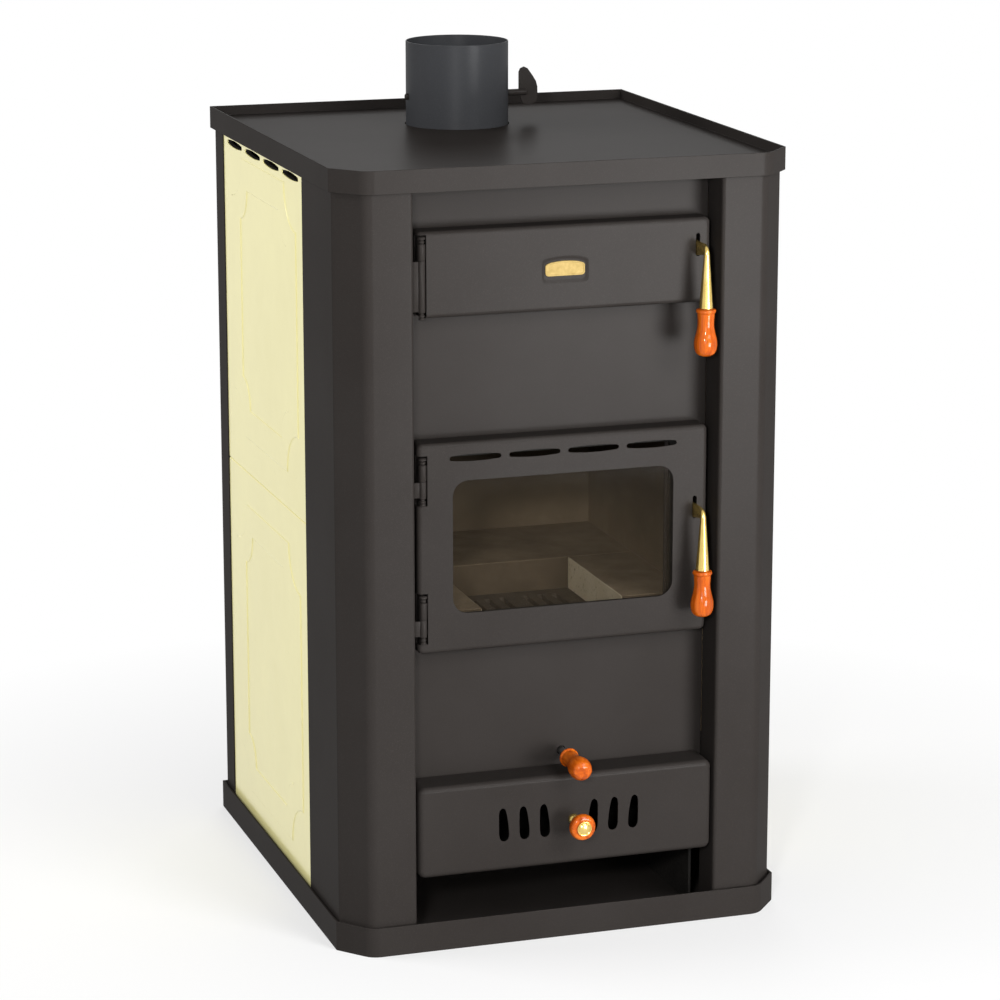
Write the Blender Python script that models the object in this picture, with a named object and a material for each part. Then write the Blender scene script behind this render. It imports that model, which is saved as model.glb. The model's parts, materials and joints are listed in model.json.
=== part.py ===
# Wood stove with boiler: a steel casing with tiled sides round a water-jacketed firebox,
# a loading door, a glazed fire door, an ash drawer, a riddling grate and a flue damper.
# Metres, +Z up, +X to the right, the front faces -Y.
# The origin is the centre of the plinth's footprint, on the floor.

from math import cos, degrees, pi, radians, sin

import bmesh
import bpy
from mathutils import Matrix, Vector

# Overall sizes
WIDTH = 0.652
DEPTH = 0.705
HEIGHT = 1.095
SHEET = 0.003
GAP = 0.0003

# Plinth and top tray
PLINTH_HEIGHT = 0.042
RIM_ABOVE_PLATE = 0.014
APRON_DROP = 0.032
CORNER_X = 0.039
CORNER_Y = 0.046
CASE_INSET = 0.0055
CASE_FRONT_INSET = 0.0085

# Corner posts
RECESS_HALF = 0.2195
FRONT_FLAT_HALF = 0.2845
POST_CHAMFER_Y = 0.043
SHARP_BEND = 0.005
SOFT_BEND = 0.020
TRAY_BEND = 0.028
TILE_FRONT = -0.150
TILE_BACK = 0.298
REAR_FLANGE = 0.050

# Side tiles
TILE_JOINT_SHARE = 0.5222
TILE_EDGE_GAP = 0.0005
TILE_INSET = 0.0015
TILE_LIP = 0.006
TILE_LIP_THICKNESS = 0.006
TILE_CORNER = 0.004
TILE_EDGE = 0.0015
BAND_HEIGHT = 0.0012
PANEL_SINK = 0.0002
BAND_MARGIN = 0.041
BAND_SHIFT = -0.004
BAND_CUT = 0.062
PANEL_MARGIN = 0.051
PANEL_CUT_Y = 0.040
PANEL_CUT_Z = 0.045
BAND_BELOW_TOP = 0.0377
BAND_ABOVE_JOINT = 0.0527
BAND_BELOW_JOINT = 0.0493
BAND_ABOVE_BOTTOM = 0.0712
BAND_WIDTH = 0.044
BACKING = 0.0015
BACKING_FLANGE = 0.040
BACKING_BELOW_TOP = 0.0317
TILE_SLOT_BELOW_TOP = 0.0249
TILE_SLOT_LENGTH = 0.086
TILE_SLOT_MIDDLE = 0.0100
TILE_SLOT_END = 0.0055
TILE_SLOT_PITCH = 0.105

# Front plate
RECESS_DEPTH = 0.054
PLATE = 0.004
PLATE_BELOW_CHAMBER = 0.0147
DOOR_OPENING_HALF = 0.160

# Doors
DOOR_PROUD = 0.034
DOOR_HALF = 0.210
DOOR_SHEET = 0.002
DOOR_CORNER = 0.008
DOOR_EDGE = 0.006
DOOR_BACK_CLEARANCE = 0.0018
LOADING_DOOR_BELOW_TOP = 0.148
LOADING_DOOR_HALF_HEIGHT = 0.059
FIRE_DOOR_Z = 0.5685
FIRE_DOOR_HALF_HEIGHT = 0.1475

# Liners that hold the rope seals
LINER_HALF = 0.179
LINER_SIDE_MARGIN = 0.0085
LINER_SHEET = 0.002
SEAL_CHANNEL = 0.012
SEAL_DIAMETER = 0.0108
SEAL_CORNER = 0.024
LINER_BACK_CLEARANCE = 0.004
OPENING_MARGIN = 0.005

# Window
WINDOW_HALF = 0.160
WINDOW_HALF_HEIGHT = 0.0934
WINDOW_CORNER = 0.022
GLASS_MARGIN_X = 0.010
GLASS_MARGIN_Z = 0.010
GLASS = 0.004
GLASS_CORNER = 0.010
GASKET = 0.0025
GASKET_WIDTH = 0.006
RETAINER_SHEET = 0.0015
RETAINER_HALF = 0.150
RETAINER_FOOT = 0.012
RETAINER_LIP = 0.009
AIR_SLOT_DROP = 0.0225
AIR_SLOT_LENGTH = 0.074
AIR_SLOT_MIDDLE = 0.0100
AIR_SLOT_END = 0.0066
AIR_SLOT_PITCH = 0.085

# Badge
BADGE_HALF = 0.0283
BADGE_HEIGHT = 0.0205
BADGE_ARCH = 0.0030
BADGE_CORNER = 0.005
BADGE_THICKNESS = 0.0016
BADGE_BELOW_CENTRE = 0.0005
BADGE_SEAT_DEPTH = 0.0012
BADGE_SEAT_MARGIN_X = 0.0058
BADGE_SEAT_MARGIN_Z = 0.0085
BADGE_SEAT_DROP = 0.0015

# Hinges
HINGE_X = -0.2035
HINGE_PROUD = 0.002
BARREL_RADIUS = 0.005
PIN_RADIUS = 0.0028
PIN_CLEARANCE = 0.0003
LEAF = 0.003
LEAF_GAP = 0.003
TAB_LENGTH = 0.022
TAB_BACK = 0.0015
NOTCH_SIDE = 0.0075
NOTCH_DEPTH = 0.012
NOTCH_END = 0.0012
FINIAL = 0.0105
LOADING_HINGE_FROM_CENTRE = (-0.0493, 0.0209, 0.0429)
FIRE_HINGE_UPPER_FROM_CENTRE = (0.0733, 0.0969, 0.1193)
FIRE_HINGE_LOWER_FROM_CENTRE = (-0.1215, -0.0975, -0.0736)

# Latches
LATCH_X = 0.192
LATCH_PIVOT_DEPTH = 0.012
LATCH_PIN_RADIUS = 0.0025
LATCH_BAR = 0.005
LATCH_SLOT = 0.0062
LATCH_SLOT_ABOVE = 0.0208
LATCH_SLOT_BELOW = 0.0118
LATCH_ROOT_HALF = 0.0098
LATCH_ARM = 0.0175
LATCH_ARM_LOW = 0.0023
LATCH_ARM_HIGH = 0.0037
GRIP_OUT = 0.033
CONE_TOP_RADIUS = 0.0042
CONE_BASE_RADIUS = 0.0096
CONE_LENGTH = 0.0735
CONE_TOP = 0.0050
GRIP_LENGTH = 0.0655
GRIP_BORE = 0.6
GRIP_PROFILE = (
    (0.0118, 0.0), (0.0136, 0.0015), (0.0137, 0.0040), (0.0121, 0.0062), (0.0117, 0.0110),
    (0.0113, 0.0190), (0.0118, 0.0260), (0.0132, 0.0335), (0.0150, 0.0400), (0.0159, 0.0460),
    (0.0160, 0.0505), (0.0150, 0.0568), (0.0124, 0.0618), (0.0080, 0.0646), (0.0, GRIP_LENGTH))
EAR = 0.002
EAR_CLEARANCE = 0.0005
EAR_HALF_HEIGHT = 0.008
EAR_REACH = 0.015
CATCH_HALF = 0.006
CATCH_REACH = 0.0125
CATCH_ABOVE_ARM = 0.0008
CATCH_HEIGHT = 0.010
LOADING_LATCH_ABOVE_CENTRE = 0.0170
FIRE_LATCH_ABOVE_CENTRE = 0.0265

# Ash drawer
DRAWER_PROUD = 0.052
DRAWER_HALF = 0.216
DRAWER_Z = 0.1685
DRAWER_HALF_HEIGHT = 0.0655
DRAWER_CORNER = 0.010
DRAWER_EDGE = 0.008
DRAWER_BOX_INSET = 0.021
DRAWER_BOX_TOP_BELOW = 0.019
DRAWER_BOX_LIP_ABOVE = 0.035
DRAWER_BOX_BACK = 0.120
DRAWER_SHEET = 0.002
ASH_OPENING_MARGIN = 0.005
DRAWER_SLOT_ABOVE_CENTRE = 0.0016
DRAWER_SLOT_HEIGHT = 0.0488
DRAWER_SLOT_FIRST = 0.0365
DRAWER_SLOT_PITCH = 0.0300
DRAWER_SLOT_CENTRE = 0.003
DRAWER_SLOT_STRAIGHT = 0.0064
DRAWER_SLOT_OUTLINE = (
    (0.0074, 0.000), (0.0106, 0.014), (0.0130, 0.052), (0.0144, 0.110), (0.0148, 0.190), (0.0147, 0.300),
    (0.0141, 0.450), (0.0130, 0.620), (0.0117, 0.780), (0.0102, 0.910), (0.0086, 0.968), (0.0058, 1.000),
    (0.0030, 0.972), (0.0010, 0.920), (0.0001, 0.820), (0.0000, 0.500), (0.0002, 0.220), (0.0012, 0.105),
    (0.0034, 0.032))
KNOB_X = 0.0095
KNOB_RING = 0.0186
KNOB_DOME = 0.0106
KNOB_START = 0.0290
KNOB_END = 0.0452
KNOB_OUT = 0.0502
STUD_SHANK = 0.0042
STUD_FOOT = 0.0078
STUD_NUT = 0.0030

# Ash chamber
CHAMBER_WALL = 0.004
CHAMBER_FLOOR_CLEARANCE = 0.0002

# Boiler jacket
JACKET_HALF = 0.262
JACKET_BACK = 0.300
JACKET_BOTTOM = 0.260
JACKET_BELOW_TOP = 0.065
JACKET_WALL = 0.004
FIREBOX_HALF = 0.204
FIREBOX_BACK = 0.150
THROAT_BACK = 0.245
THROAT_BOTTOM_BELOW_TOP = 0.295
THROAT_TOP_BELOW_TOP = 0.110
LEDGE = 0.012
LEDGE_BITE = 0.0005
BAFFLE = 0.006
BAFFLE_FRONT = -0.120
BAFFLE_BACK = 0.200
INNER_CLEARANCE = 0.0005

# Sockets at the back
SOCKET_BORE = 0.0137
SOCKET_WALL = 0.0031
SAFETY_BORE = 0.0105
SAFETY_WALL = 0.0030
SOCKET_BEHIND_CASE = 0.020
SOCKET_HOLE_CLEARANCE = 0.002
SOCKET_X = 0.230
FLOW_BELOW_TOP = 0.095
RETURN_Z = 0.320

# Hearth
HEARTH_Z = 0.400
HEARTH = 0.010
HEARTH_FRONT = -0.275
HEARTH_OPENING_HALF = 0.088
HEARTH_OPENING_FRONT = -0.240
HEARTH_OPENING_BACK = -0.068
BRICK_INNER = 0.103
BRICK_TOP = 0.466
BRICK_BACK_FACE = -0.045
GRATE = 0.010
GRATE_SIDE_CLEARANCE = 0.0015
GRATE_FRONT = -0.262
GRATE_BACK = -0.050
GRATE_SLOT = 0.009
GRATE_SLOT_PITCH = 0.022
GRATE_SLOT_FIRST = 0.018
GRATE_SLOT_END = 0.024

# Riddling rod
RIDDLE_X = 0.009
RIDDLE_ABOVE_DRAWER = 0.0195
RIDDLE_ROD_RADIUS = 0.005
RIDDLE_HOLE_RADIUS = 0.00625
RIDDLE_ARM_Y = -0.150
RIDDLE_ARM = 0.012
RIDDLE_ARM_THICKNESS = 0.006
RIDDLE_PEG_RADIUS = 0.003
RIDDLE_BEND = 0.0025
RIDDLE_DROOP = 2.0
RIDDLE_GRIP_REAR = 0.031

# Flue and damper
FLUE_Y = 0.162
FLUE_RADIUS = 0.075
FLUE_WALL = 0.002
FLUE_ABOVE_PLATE = 0.121
FLUE_FLANGE = 0.015
FLUE_FLANGE_THICKNESS = 0.003
FLUE_TRAY_CLEARANCE = 0.0015
DAMPER_ABOVE_PLATE = 0.0415
DAMPER_CLEARANCE = 0.0025
DAMPER_PLATE = 0.002
SPINDLE_RADIUS = 0.00475
SPINDLE_LEFT = 0.0045
SPINDLE_RIGHT = 0.033
BLADE = 0.003
BLADE_START = 0.0213

# Facets of round pieces
FINE = 40
ROUND = 24
SMALL = 12
ARC_STEPS = 4
MERGE = 1e-6

# Worked out from the sizes above
HALF_W = WIDTH / 2
HALF_D = DEPTH / 2
CASE_X = HALF_W - CASE_INSET
CASE_FRONT = -HALF_D + CASE_FRONT_INSET
CASE_BACK = HALF_D - CASE_INSET
TOP_PLATE_TOP = HEIGHT - RIM_ABOVE_PLATE
TOP_PLATE_BOTTOM = TOP_PLATE_TOP - SHEET
CASE_BOTTOM = SHEET + GAP
CASE_TOP = TOP_PLATE_BOTTOM - GAP
PANEL_Y = CASE_FRONT + RECESS_DEPTH
PANEL_BACK = PANEL_Y + PLATE
INNER_FRONT = PANEL_BACK + GAP
DOOR_FACE = PANEL_Y - DOOR_PROUD
DOOR_INSIDE = DOOR_FACE + DOOR_SHEET + GAP
DOOR_BACK = PANEL_Y - DOOR_BACK_CLEARANCE
DRAWER_FACE = PANEL_Y - DRAWER_PROUD
DRAWER_INSIDE = DRAWER_FACE + DRAWER_SHEET + GAP
HINGE_Y = DOOR_FACE - HINGE_PROUD
LATCH_Y = DOOR_FACE + LATCH_PIVOT_DEPTH
TILE_JOINT = HEIGHT * TILE_JOINT_SHARE
TILE_SLOT_Z = CASE_TOP - TILE_SLOT_BELOW_TOP
BACKING_TOP = CASE_TOP - BACKING_BELOW_TOP
LOADING_DOOR_Z = HEIGHT - LOADING_DOOR_BELOW_TOP
LOADING_HINGE = [LOADING_DOOR_Z + level for level in LOADING_HINGE_FROM_CENTRE]
FIRE_HINGE_UPPER = [FIRE_DOOR_Z + level for level in FIRE_HINGE_UPPER_FROM_CENTRE]
FIRE_HINGE_LOWER = [FIRE_DOOR_Z + level for level in FIRE_HINGE_LOWER_FROM_CENTRE]
LOADING_LATCH_Z = LOADING_DOOR_Z + LOADING_LATCH_ABOVE_CENTRE
FIRE_LATCH_Z = FIRE_DOOR_Z + FIRE_LATCH_ABOVE_CENTRE
BADGE_Z = LOADING_DOOR_Z - BADGE_BELOW_CENTRE
DRAWER_TOP = DRAWER_Z + DRAWER_HALF_HEIGHT
DRAWER_BOTTOM = DRAWER_Z - DRAWER_HALF_HEIGHT
DRAWER_BOX_HALF = DRAWER_HALF - DRAWER_BOX_INSET
DRAWER_BOX_TOP = DRAWER_TOP - DRAWER_BOX_TOP_BELOW
DRAWER_BOX_LIP = DRAWER_BOTTOM + DRAWER_BOX_LIP_ABOVE
DRAWER_SLOT_Z = DRAWER_Z + DRAWER_SLOT_ABOVE_CENTRE
CHAMBER_FLOOR_TOP = DRAWER_BOTTOM + DRAWER_EDGE + CHAMBER_FLOOR_CLEARANCE
PLATE_BOTTOM = CHAMBER_FLOOR_TOP - PLATE_BELOW_CHAMBER
RIDDLE_Z = DRAWER_TOP + RIDDLE_ABOVE_DRAWER
JACKET_TOP = HEIGHT - JACKET_BELOW_TOP
THROAT_BOTTOM = HEIGHT - THROAT_BOTTOM_BELOW_TOP
THROAT_TOP = HEIGHT - THROAT_TOP_BELOW_TOP
FLOW_Z = HEIGHT - FLOW_BELOW_TOP
HEARTH_TOP = HEARTH_Z + GAP + HEARTH
DAMPER_Z = TOP_PLATE_TOP + DAMPER_ABOVE_PLATE
CHAMBER_HALF = FIREBOX_HALF + INNER_CLEARANCE
LOADING_LINER_HALF_HEIGHT = LOADING_DOOR_HALF_HEIGHT - LINER_SIDE_MARGIN
FIRE_LINER_HALF_HEIGHT = FIRE_DOOR_HALF_HEIGHT - LINER_SIDE_MARGIN
LINER_DEPTH_INSIDE = LINER_SHEET + SEAL_CHANNEL + LINER_SHEET


# Materials

def material(name, colour, roughness, metallic=0.0, alpha=1.0):
    made = bpy.data.materials.new(name)
    made.use_nodes = True
    shader = made.node_tree.nodes["Principled BSDF"]
    shader.inputs["Base Color"].default_value = (*colour, 1.0)
    shader.inputs["Roughness"].default_value = roughness
    shader.inputs["Metallic"].default_value = metallic
    shader.inputs["Alpha"].default_value = alpha
    return made


def all_materials():
    return {
        "casing": material("casing", (0.075, 0.068, 0.066), 0.62, 0.3),
        "enamel": material("enamel", (0.77, 0.72, 0.43), 0.28),
        "brass": material("brass", (0.78, 0.60, 0.22), 0.18, 1.0),
        "wood": material("wood", (0.55, 0.14, 0.02), 0.22),
        "glass": material("glass", (0.25, 0.20, 0.14), 0.05, 0.0, 0.35),
        "rope": material("rope", (0.16, 0.15, 0.14), 0.95),
        "brick": material("brick", (0.42, 0.31, 0.19), 0.9),
        "iron": material("iron", (0.05, 0.048, 0.046), 0.7, 0.6),
        "steel": material("steel", (0.09, 0.085, 0.08), 0.6, 0.6),
        "bare_steel": material("bare_steel", (0.35, 0.35, 0.34), 0.4, 1.0),
    }


# Meshes

def new_object(name, bm, finish, smooth=False, smooth_angle=35.0):
    bmesh.ops.remove_doubles(bm, verts=bm.verts, dist=MERGE)
    bmesh.ops.recalc_face_normals(bm, faces=bm.faces)
    mesh = bpy.data.meshes.new(name)
    bm.to_mesh(mesh)
    bm.free()
    mesh.materials.append(finish)
    made = bpy.data.objects.new(name, mesh)
    bpy.context.scene.collection.objects.link(made)
    if smooth:
        mesh.shade_smooth()
        mesh.set_sharp_from_angle(angle=radians(smooth_angle))
    return made


def tool(bm):
    """A cutter or a piece to be joined: not a part of the model by itself."""
    made = new_object("tool", bm, None)
    made.hide_render = True
    made.display_type = "WIRE"
    return made


def combine(target, operation, tools):
    """Joins tools to the target or cuts them out of it, and deletes them."""
    for other in tools:
        step = target.modifiers.new("combine", "BOOLEAN")
        step.operation = operation
        step.solver = "EXACT"
        step.object = other
    bpy.context.view_layer.update()
    graph = bpy.context.evaluated_depsgraph_get()
    mesh = bpy.data.meshes.new_from_object(target.evaluated_get(graph))
    bm = bmesh.new()
    bm.from_mesh(mesh)
    bmesh.ops.dissolve_degenerate(bm, edges=bm.edges, dist=MERGE)
    bm.to_mesh(mesh)
    bm.free()
    target.modifiers.clear()
    old = target.data
    target.data = mesh
    bpy.data.meshes.remove(old)
    mesh.name = target.name
    for other in tools:
        bpy.data.objects.remove(other)
    return target


def cut(target, *tools):
    return combine(target, "DIFFERENCE", tools)


def join(target, *tools):
    return combine(target, "UNION", tools)


def loft(loops, cap_ends=True, closed=False):
    """Skins loops of equal length; a loop of one point closes to a pole."""
    bm = bmesh.new()
    rows = [[bm.verts.new(point) for point in loop] for loop in loops]
    pairs = list(zip(rows, rows[1:]))
    if closed:
        pairs.append((rows[-1], rows[0]))
    for low, high in pairs:
        count = max(len(low), len(high))
        for i in range(count):
            j = (i + 1) % count
            if len(low) == 1:
                bm.faces.new((low[0], high[j], high[i]))
            elif len(high) == 1:
                bm.faces.new((low[i], low[j], high[0]))
            else:
                bm.faces.new((low[i], low[j], high[j], high[i]))
    if cap_ends and not closed:
        for row in (rows[0], rows[-1]):
            if len(row) > 2:
                bm.faces.new(row)
    return bm


def box(low, high):
    (x0, y0, z0), (x1, y1, z1) = low, high
    outline = [(x0, y0), (x1, y0), (x1, y1), (x0, y1)]
    return loft([[(x, y, z) for x, y in outline] for z in (z0, z1)])


def prism(outline, axis, start, end):
    """An outline pushed along an axis. Its two values are the other axes, in X, Y, Z order."""
    def place(point, along):
        values = list(point)
        values.insert("XYZ".index(axis), along)
        return tuple(values)
    return loft([[place(point, along) for point in outline] for along in (start, end)])


def turned(profile, centre, axis="Z", segments=ROUND, closed=False):
    """A profile of (radius, distance) points turned about an axis through the centre."""
    rotation = {
        "Z": Matrix.Identity(3),
        "Y": Matrix.Rotation(-pi / 2, 3, "X"),
        "X": Matrix.Rotation(pi / 2, 3, "Y"),
    }[axis]
    loops = []
    for radius, along in profile:
        count = segments if radius > 0 else 1
        ring = []
        for i in range(count):
            angle = 2 * pi * (i + 0.5) / segments
            local = Vector((radius * cos(angle), radius * sin(angle), along))
            ring.append(tuple(rotation @ local + Vector(centre)))
        loops.append(ring)
    return loft(loops, closed=closed)


def cylinder(radius, centre, axis, start, end, segments=ROUND):
    return turned([(radius, start), (radius, end)], centre, axis, segments)


def arc(centre, radius, start, end, steps):
    """Points on an arc, angles in degrees, both ends included."""
    points = []
    for i in range(steps + 1):
        angle = radians(start + (end - start) * i / steps)
        points.append((centre[0] + radius * cos(angle), centre[1] + radius * sin(angle)))
    return points


def rounded_rectangle(half_a, half_b, corner, centre=(0.0, 0.0), steps=ARC_STEPS):
    points = []
    for sign_a, sign_b, start in ((1, 1, 0), (-1, 1, 90), (-1, -1, 180), (1, -1, 270)):
        middle = (centre[0] + sign_a * (half_a - corner), centre[1] + sign_b * (half_b - corner))
        points += arc(middle, corner, start, start + 90, steps)
    return points


def chamfered_outline(half_x, half_y, corner_x, corner_y, bend):
    """A rectangle with its two front corners cut off, and a soft bend from each cut to the front."""
    side, front = Vector((-half_x, -half_y + corner_y)), Vector((-half_x + corner_x, -half_y))
    into = (front - side).normalized()
    turn = into.angle(Vector((1.0, 0.0)))
    reach = bend * sin(turn / 2) / cos(turn / 2)
    middle = (front.x + reach, front.y + bend)
    left = [(-half_x, half_y), tuple(side)] + arc(middle, bend, 270 - degrees(turn), 270, ARC_STEPS + 1)
    return left + [(-x, y) for x, y in reversed(left)]


def inset(outline, distance):
    """A convex outline moved inwards by a distance."""
    points = [Vector(point) for point in outline]
    area = sum(a.x * b.y - b.x * a.y for a, b in zip(points, points[1:] + points[:1]))
    side = 1 if area > 0 else -1
    moved = []
    for before, here, after in zip(points[-1:] + points[:-1], points, points[1:] + points[:1]):
        into = (here - before).normalized()
        out = (after - here).normalized()
        normal_in = Vector((-into.y, into.x)) * side
        normal_out = Vector((-out.y, out.x)) * side
        bisector = (normal_in + normal_out).normalized()
        moved.append(tuple(here + bisector * distance / bisector.dot(normal_in)))
    return moved


def bent_strip(corners, bends, thickness, steps=ARC_STEPS):
    """The outline of a sheet bent along corners; its thickness lies to the left of the path."""
    corners = [Vector(corner) for corner in corners]
    first = (corners[1] - corners[0]).normalized()
    path = [(corners[0], Vector((-first.y, first.x)))]
    for before, here, after, bend in zip(corners, corners[1:], corners[2:], bends):
        into = (here - before).normalized()
        out = (after - here).normalized()
        turn = into.angle_signed(out)
        # mathutils counts a clockwise turn as positive
        side = -1 if turn > 0 else 1
        reach = bend * sin(abs(turn) / 2) / cos(abs(turn) / 2)
        normal = Vector((-into.y, into.x))
        middle = here - into * reach + normal * bend * side
        for i in range(steps + 1):
            spun = normal.copy()
            spun.rotate(Matrix.Rotation(side * abs(turn) * i / steps, 2))
            path.append((middle - spun * bend * side, spun))
    last = (corners[-1] - corners[-2]).normalized()
    path.append((corners[-1], Vector((-last.y, last.x))))
    outside = [tuple(point) for point, normal in path]
    inside = [tuple(point + normal * thickness) for point, normal in reversed(path)]
    return outside + inside


def pan(half_x, half_z, corner, edge, wall, face, back, centre_z):
    """A pressed sheet pan, open at the back, with a rounded front edge."""
    def rim(setback, y):
        radius = max(corner - setback, wall / 4)
        ring = rounded_rectangle(half_x - setback, half_z - setback, radius, (0.0, centre_z))
        return [(x, y, z) for x, z in ring]

    def rounding(radius, start):
        steps = range(ARC_STEPS + 1)
        turns = [pi / 2 * i / ARC_STEPS for i in steps]
        return [rim(start + radius * (1 - cos(a)), face + start + radius * (1 - sin(a))) for a in turns]

    inside = rounding(edge - wall, wall)
    outside = rounding(edge, 0.0)
    return loft(list(reversed(inside)) + [rim(wall, back), rim(0.0, back)] + outside)


def frame_sweep(profile, half_x, half_z, corner, centre_z, steps=ARC_STEPS):
    """A closed profile of (outwards, y) points carried round a rectangle with round corners."""
    loops = []
    for sign_x, sign_z, start in ((1, 1, 0), (-1, 1, 90), (-1, -1, 180), (1, -1, 270)):
        for i in range(steps + 1):
            angle = radians(start + 90 * i / steps)
            out = (cos(angle), sin(angle))
            x = sign_x * (half_x - corner) + out[0] * corner
            z = centre_z + sign_z * (half_z - corner) + out[1] * corner
            loops.append([(x + out[0] * u, y, z + out[1] * u) for u, y in profile])
    return loft(loops, closed=True)


def lens_slot(length, middle, end, centre=(0.0, 0.0), steps=6):
    """An outline that is widest in the middle, with round ends."""
    reach = length / 2 - end / 2

    def half(along):
        return end / 2 + (middle - end) / 2 * (1 - (along / reach) ** 2)

    places = [-reach + 2 * reach * i / steps for i in range(steps + 1)]
    low = [(along, -half(along)) for along in places]
    right = arc((reach, 0.0), end / 2, -90, 90, 4)[1:-1]
    high = [(along, half(along)) for along in reversed(places)]
    left = arc((-reach, 0.0), end / 2, 90, 270, 4)[1:-1]
    return [(a + centre[0], b + centre[1]) for a, b in low + right + high + left]


def cove_rectangle(y0, y1, z0, z1, cut_y, cut_z, steps=5):
    """A rectangle whose corners are hollowed by quarter ellipses."""
    points = []
    for corner_y, corner_z, start in ((y0, z0, 90), (y1, z0, 180), (y1, z1, 270), (y0, z1, 0)):
        for i in range(steps + 1):
            angle = radians(start - 90 * i / steps)
            points.append((corner_y + cut_y * cos(angle), corner_z + cut_z * sin(angle)))
    return points


def axis_empty(name, place):
    made = bpy.data.objects.new(name, None)
    made.location = place
    bpy.context.scene.collection.objects.link(made)
    return made


def carry(parent, *children):
    """Parents pieces to an empty and leaves them where they are."""
    bpy.context.view_layer.update()
    for child in children:
        child.parent = parent
        child.matrix_parent_inverse = parent.matrix_world.inverted()


# Casing

def base_tray(finish):
    outer = chamfered_outline(HALF_W, HALF_D, CORNER_X, CORNER_Y, TRAY_BEND)
    inner = inset(outer, SHEET)
    loops = [(outer, 0.0), (outer, PLINTH_HEIGHT), (inner, PLINTH_HEIGHT), (inner, SHEET)]
    return new_object("base_tray", loft([[(x, y, z) for x, y in loop] for loop, z in loops]), finish)


def top_tray(finish):
    outer = chamfered_outline(HALF_W, HALF_D, CORNER_X, CORNER_Y, TRAY_BEND)
    inner = inset(outer, SHEET)
    apron = HEIGHT - APRON_DROP
    loops = [
        (inner, TOP_PLATE_BOTTOM), (inner, apron), (outer, apron),
        (outer, HEIGHT), (inner, HEIGHT), (inner, TOP_PLATE_TOP),
    ]
    made = new_object("top_tray", loft([[(x, y, z) for x, y in loop] for loop, z in loops]), finish)
    hole = cylinder(FLUE_RADIUS + FLUE_TRAY_CLEARANCE, (0, FLUE_Y, 0), "Z", apron, HEIGHT, FINE)
    return cut(made, tool(hole))


def mirrored(outline, side):
    return [(side * x, y) for x, y in outline]


def front_post(name, side, finish):
    path = [
        (RECESS_HALF, PANEL_Y - GAP), (RECESS_HALF, CASE_FRONT), (FRONT_FLAT_HALF, CASE_FRONT),
        (CASE_X, CASE_FRONT + POST_CHAMFER_Y), (CASE_X, TILE_FRONT),
    ]
    outline = bent_strip(path, (SHARP_BEND, SOFT_BEND, SHARP_BEND), SHEET)
    return new_object(name, prism(mirrored(outline, side), "Z", CASE_BOTTOM, CASE_TOP), finish)


def rear_post(name, side, finish):
    path = [(CASE_X, TILE_BACK), (CASE_X, CASE_BACK), (CASE_X - REAR_FLANGE, CASE_BACK)]
    outline = bent_strip(path, (SHARP_BEND,), SHEET)
    return new_object(name, prism(mirrored(outline, side), "Z", CASE_BOTTOM, CASE_TOP), finish)


def sockets():
    """Name, X, Z, bore and outside radius of each water socket."""
    return [
        ("flow_socket", SOCKET_X, FLOW_Z, SOCKET_BORE, SOCKET_BORE + SOCKET_WALL),
        ("safety_socket", -SOCKET_X, FLOW_Z, SAFETY_BORE, SAFETY_BORE + SAFETY_WALL),
        ("return_socket", -SOCKET_X, RETURN_Z, SOCKET_BORE, SOCKET_BORE + SOCKET_WALL),
    ]


def back_cover(finish):
    high = CASE_BACK - SHEET - GAP
    low = high - SHEET
    half = CASE_X - REAR_FLANGE / 2
    made = new_object("back_cover", box((-half, low, CASE_BOTTOM), (half, high, CASE_TOP)), finish)
    holes = []
    for name, x, z, bore, outside in sockets():
        radius = outside + SOCKET_HOLE_CLEARANCE
        hole = cylinder(radius, (x, 0, z), "Y", low - SHEET, high + SHEET, SMALL * 2)
        holes.append(tool(hole))
    return cut(made, *holes)


# Side tiles

def tile(name, side, low, high, band_low, band_high, slotted, finish):
    front = TILE_FRONT + TILE_EDGE_GAP
    back = TILE_BACK - TILE_EDGE_GAP
    face = CASE_X - TILE_INSET
    lip = CASE_X - SHEET - GAP
    middle = ((front + back) / 2, (low + high) / 2)
    half_y = (back - front) / 2
    half_z = (high - low) / 2

    def ring(x, half, setback=0.0):
        corner = TILE_CORNER - setback
        outline = rounded_rectangle(half - setback, half_z - setback, corner, middle)
        return [(side * x, y, z) for y, z in outline]

    body = new_object(name, loft([
        ring(lip - TILE_LIP_THICKNESS, half_y), ring(face - TILE_EDGE, half_y),
        ring(face, half_y, TILE_EDGE),
    ]), finish)
    join(body, tool(loft([
        ring(lip - TILE_LIP_THICKNESS, half_y + TILE_LIP), ring(lip, half_y + TILE_LIP)])))
    if slotted:
        for i in range(4):
            along = middle[0] + (i - 1.5) * TILE_SLOT_PITCH
            slot = lens_slot(TILE_SLOT_LENGTH, TILE_SLOT_MIDDLE, TILE_SLOT_END, (along, TILE_SLOT_Z))
            cut(body, tool(prism(slot, "X", side * (lip - 2 * TILE_LIP_THICKNESS), side * CASE_X)))
    band_front = front + BAND_MARGIN + BAND_SHIFT
    band_back = back - BAND_MARGIN + BAND_SHIFT
    band = cove_rectangle(band_front, band_back, band_low, band_high, BAND_CUT, BAND_CUT)
    raised = prism(band, "X", side * (face - BAND_HEIGHT), side * (face + BAND_HEIGHT))
    join(body, tool(raised))
    centre = cove_rectangle(
        band_front + PANEL_MARGIN, band_back - PANEL_MARGIN, band_low + BAND_WIDTH, band_high - BAND_WIDTH,
        PANEL_CUT_Y, PANEL_CUT_Z)
    return cut(body, tool(prism(centre, "X", side * (face - PANEL_SINK), side * (face + 2 * BAND_HEIGHT))))


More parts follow.
